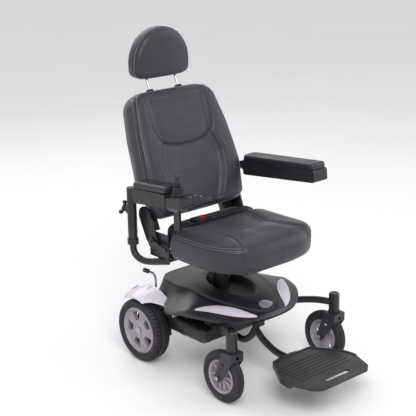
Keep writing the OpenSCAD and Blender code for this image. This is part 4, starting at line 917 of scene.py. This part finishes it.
def loaf(node):
    """A pad's points in its CAD box: superellipse sections across it, ends rounded by an ellipse, with a parting line low on the side."""
    low, high = (np.array(p) * 1000.0 - [0, SHIFT * 1000.0, 0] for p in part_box(node))
    centre, half_wide = (low[0] + high[0]) / 2, (high[0] - low[0]) / 2
    length = high[1] - low[1]
    drop = length * math.tan(ARM_TILT)
    tall = high[2] - low[2] - drop
    u = (np.sin((np.linspace(0, 1, 120) - 0.5) * np.pi) * 0.5 + 0.5)[:, None]
    inset = np.minimum(u, 1 - u) * length

    def rounded(radius):
        """How far an edge draws in, in millimetres, near an end rounded by a radius."""
        return radius - np.sqrt(np.clip(radius**2 - np.clip(radius - inset, 0, radius) ** 2, 0, None))

    # across the pad: a flat bottom, upright sides and a broad radius on top
    r_top, r_low = 13.0, 3.0
    q = np.linspace(0, np.pi / 2, 14)
    side_up = np.vstack([
        np.stack([half_wide - r_low + r_low * np.sin(q), r_low - r_low * np.cos(q)], -1),
        np.stack([half_wide - r_top + r_top * np.cos(q), tall - 1.2 - r_top + r_top * np.sin(q)], -1)])
    top_x = np.linspace(half_wide - r_top, -(half_wide - r_top), 16)[1:-1]
    section = np.vstack([side_up, np.stack([top_x, np.full(14, tall - 1.2)], -1), side_up[::-1] * [-1, 1]])
    a = np.zeros((1, len(section)))
    narrow = (half_wide - rounded(17.0)) / half_wide
    low_end = rounded(13.0) * 0.9
    across = section[None, :, 0] * narrow
    up = section[None, :, 1] * (tall - low_end) / tall
    across = across * (1 - 0.014 * np.exp(-((up - tall * 0.3) / 1.2) ** 2))
    up = up + 1.2 * smooth((up - tall * 0.8) / 5) * (1 - (across / half_wide) ** 2)
    y = high[1] - 0.8 - u * (length - 1.6) + 0 * a
    return centre, across, y, low[2] + drop * u + up


for side in ("left", "right"):
    centre, across, y, z = loaf("arm_pad_" + side)
    if side == "right":
        # the inner strip runs on past the joystick, which stands in a scallop of the pad
        forward = smooth((52.0 - y) / 14.0)
        strip = 9.0 / np.abs(across).max()
        inner = centre + np.abs(across).max() - 9.0
        px = (centre + across) * (1 - forward) + (inner + across * strip) * forward
    else:
        px = centre + across
    grid = metres(np.stack([px, y, z], -1))
    pad = surface("arm_pad_skin_" + side, grid, FINISH["pad"], "armrest_" + side)
    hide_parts("arm_pad_" + side)

# %% [markdown]
# ## Joystick
# Rubber bellows are one profile of soft pleats turned about the stick. The stick's grip, a waisted knob
# with a domed cap, is not remade here.

# %% bellows
def turned(name, centre, profile_rz, finish, body, count=72):
    """A profile of (radius, height) turned about an upright axis."""
    pr = np.asarray(profile_rz, float)
    a = np.linspace(0, 2 * np.pi, count, endpoint=False)
    grid = np.stack([centre[0] + pr[:, :1] * np.cos(a), centre[1] + pr[:, :1] * np.sin(a), centre[2] + pr[:, 1:] + 0 * a[None]], -1)
    return surface(name, metres(grid), finish, body)


low, high = (np.array(p) * 1000.0 - [0, SHIFT * 1000.0, 0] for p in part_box("joystick_boot"))
bx0, by0 = (low[0] + high[0]) / 2, (low[1] + high[1]) / 2
tall, r0 = high[2] - low[2], (high[0] - low[0]) / 2
h = np.linspace(0, 1, 60)
pleat = r0 * (1 - 0.46 * h**1.15) - 3.2 * (0.5 - 0.5 * np.cos(2 * np.pi * 3.5 * h)) * smooth(h / 0.08)
outer = np.stack([pleat, h * tall], -1)
inner = np.stack([np.linspace(pleat[-1] - 2.5, 17.0, 6), np.linspace(tall, tall * 0.4, 6)], -1)
bellows = turned("joystick_bellows", (bx0, by0, low[2]), np.vstack([[[20.0, 0.0]], outer, inner, [[20.0, 2.0]]]), FINISH["bellows"], "armrest_right")
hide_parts("joystick_boot")
print("bellows", round(tall, 1), "mm tall")

# %% [markdown]
# ## Freewheel grips
# Each freewheel lever ends in a ribbed rubber grip, pushed over the bent rod.

# %% freewheel grips
for side, name in ((1, "left"), (-1, "right")):
    base = np.array([188.0, 325.0, 341.0])
    way = np.array([0.791, 0.457, 0.407])
    t = np.linspace(-0.5, 26.5, 60)
    radius = 9.0 + 0.55 * np.sin(t / 4.2 * 2 * np.pi) * (t < 22)
    radius = radius * np.sqrt(np.clip(1 - ((t - 20.0) / 7.2) ** 2, 0.05, 1)) ** (t > 20)
    u = np.cross(way, [0.0, 0.0, 1.0])
    u /= np.linalg.norm(u)
    v = np.cross(way, u)
    a = np.linspace(0, 2 * np.pi, 40, endpoint=False)
    ring = np.cos(a)[:, None] * u + np.sin(a)[:, None] * v
    grid = (base + t[:, None] * way)[:, None] + radius[:, None, None] * ring[None]
    grid = grid * [side, 1, 1]
    surface("freewheel_grip_" + name, metres(grid), FINISH["bellows"], "freewheel_lever_" + name)

# %% [markdown]
# ## Floor
# One large pale sheet under the wheels.

# %% floor
mesh = bpy.data.meshes.new("studio_floor")
mesh.from_pydata([(-30, -30, 0), (30, -30, 0), (30, 30, 0), (-30, 30, 0)], [], [(0, 1, 2, 3)])
floor = bpy.data.objects.new("studio_floor", mesh)
bpy.context.scene.collection.objects.link(floor)
mesh.materials.append(FINISH["floor"].mat)

# %% update
bpy.context.view_layer.update()
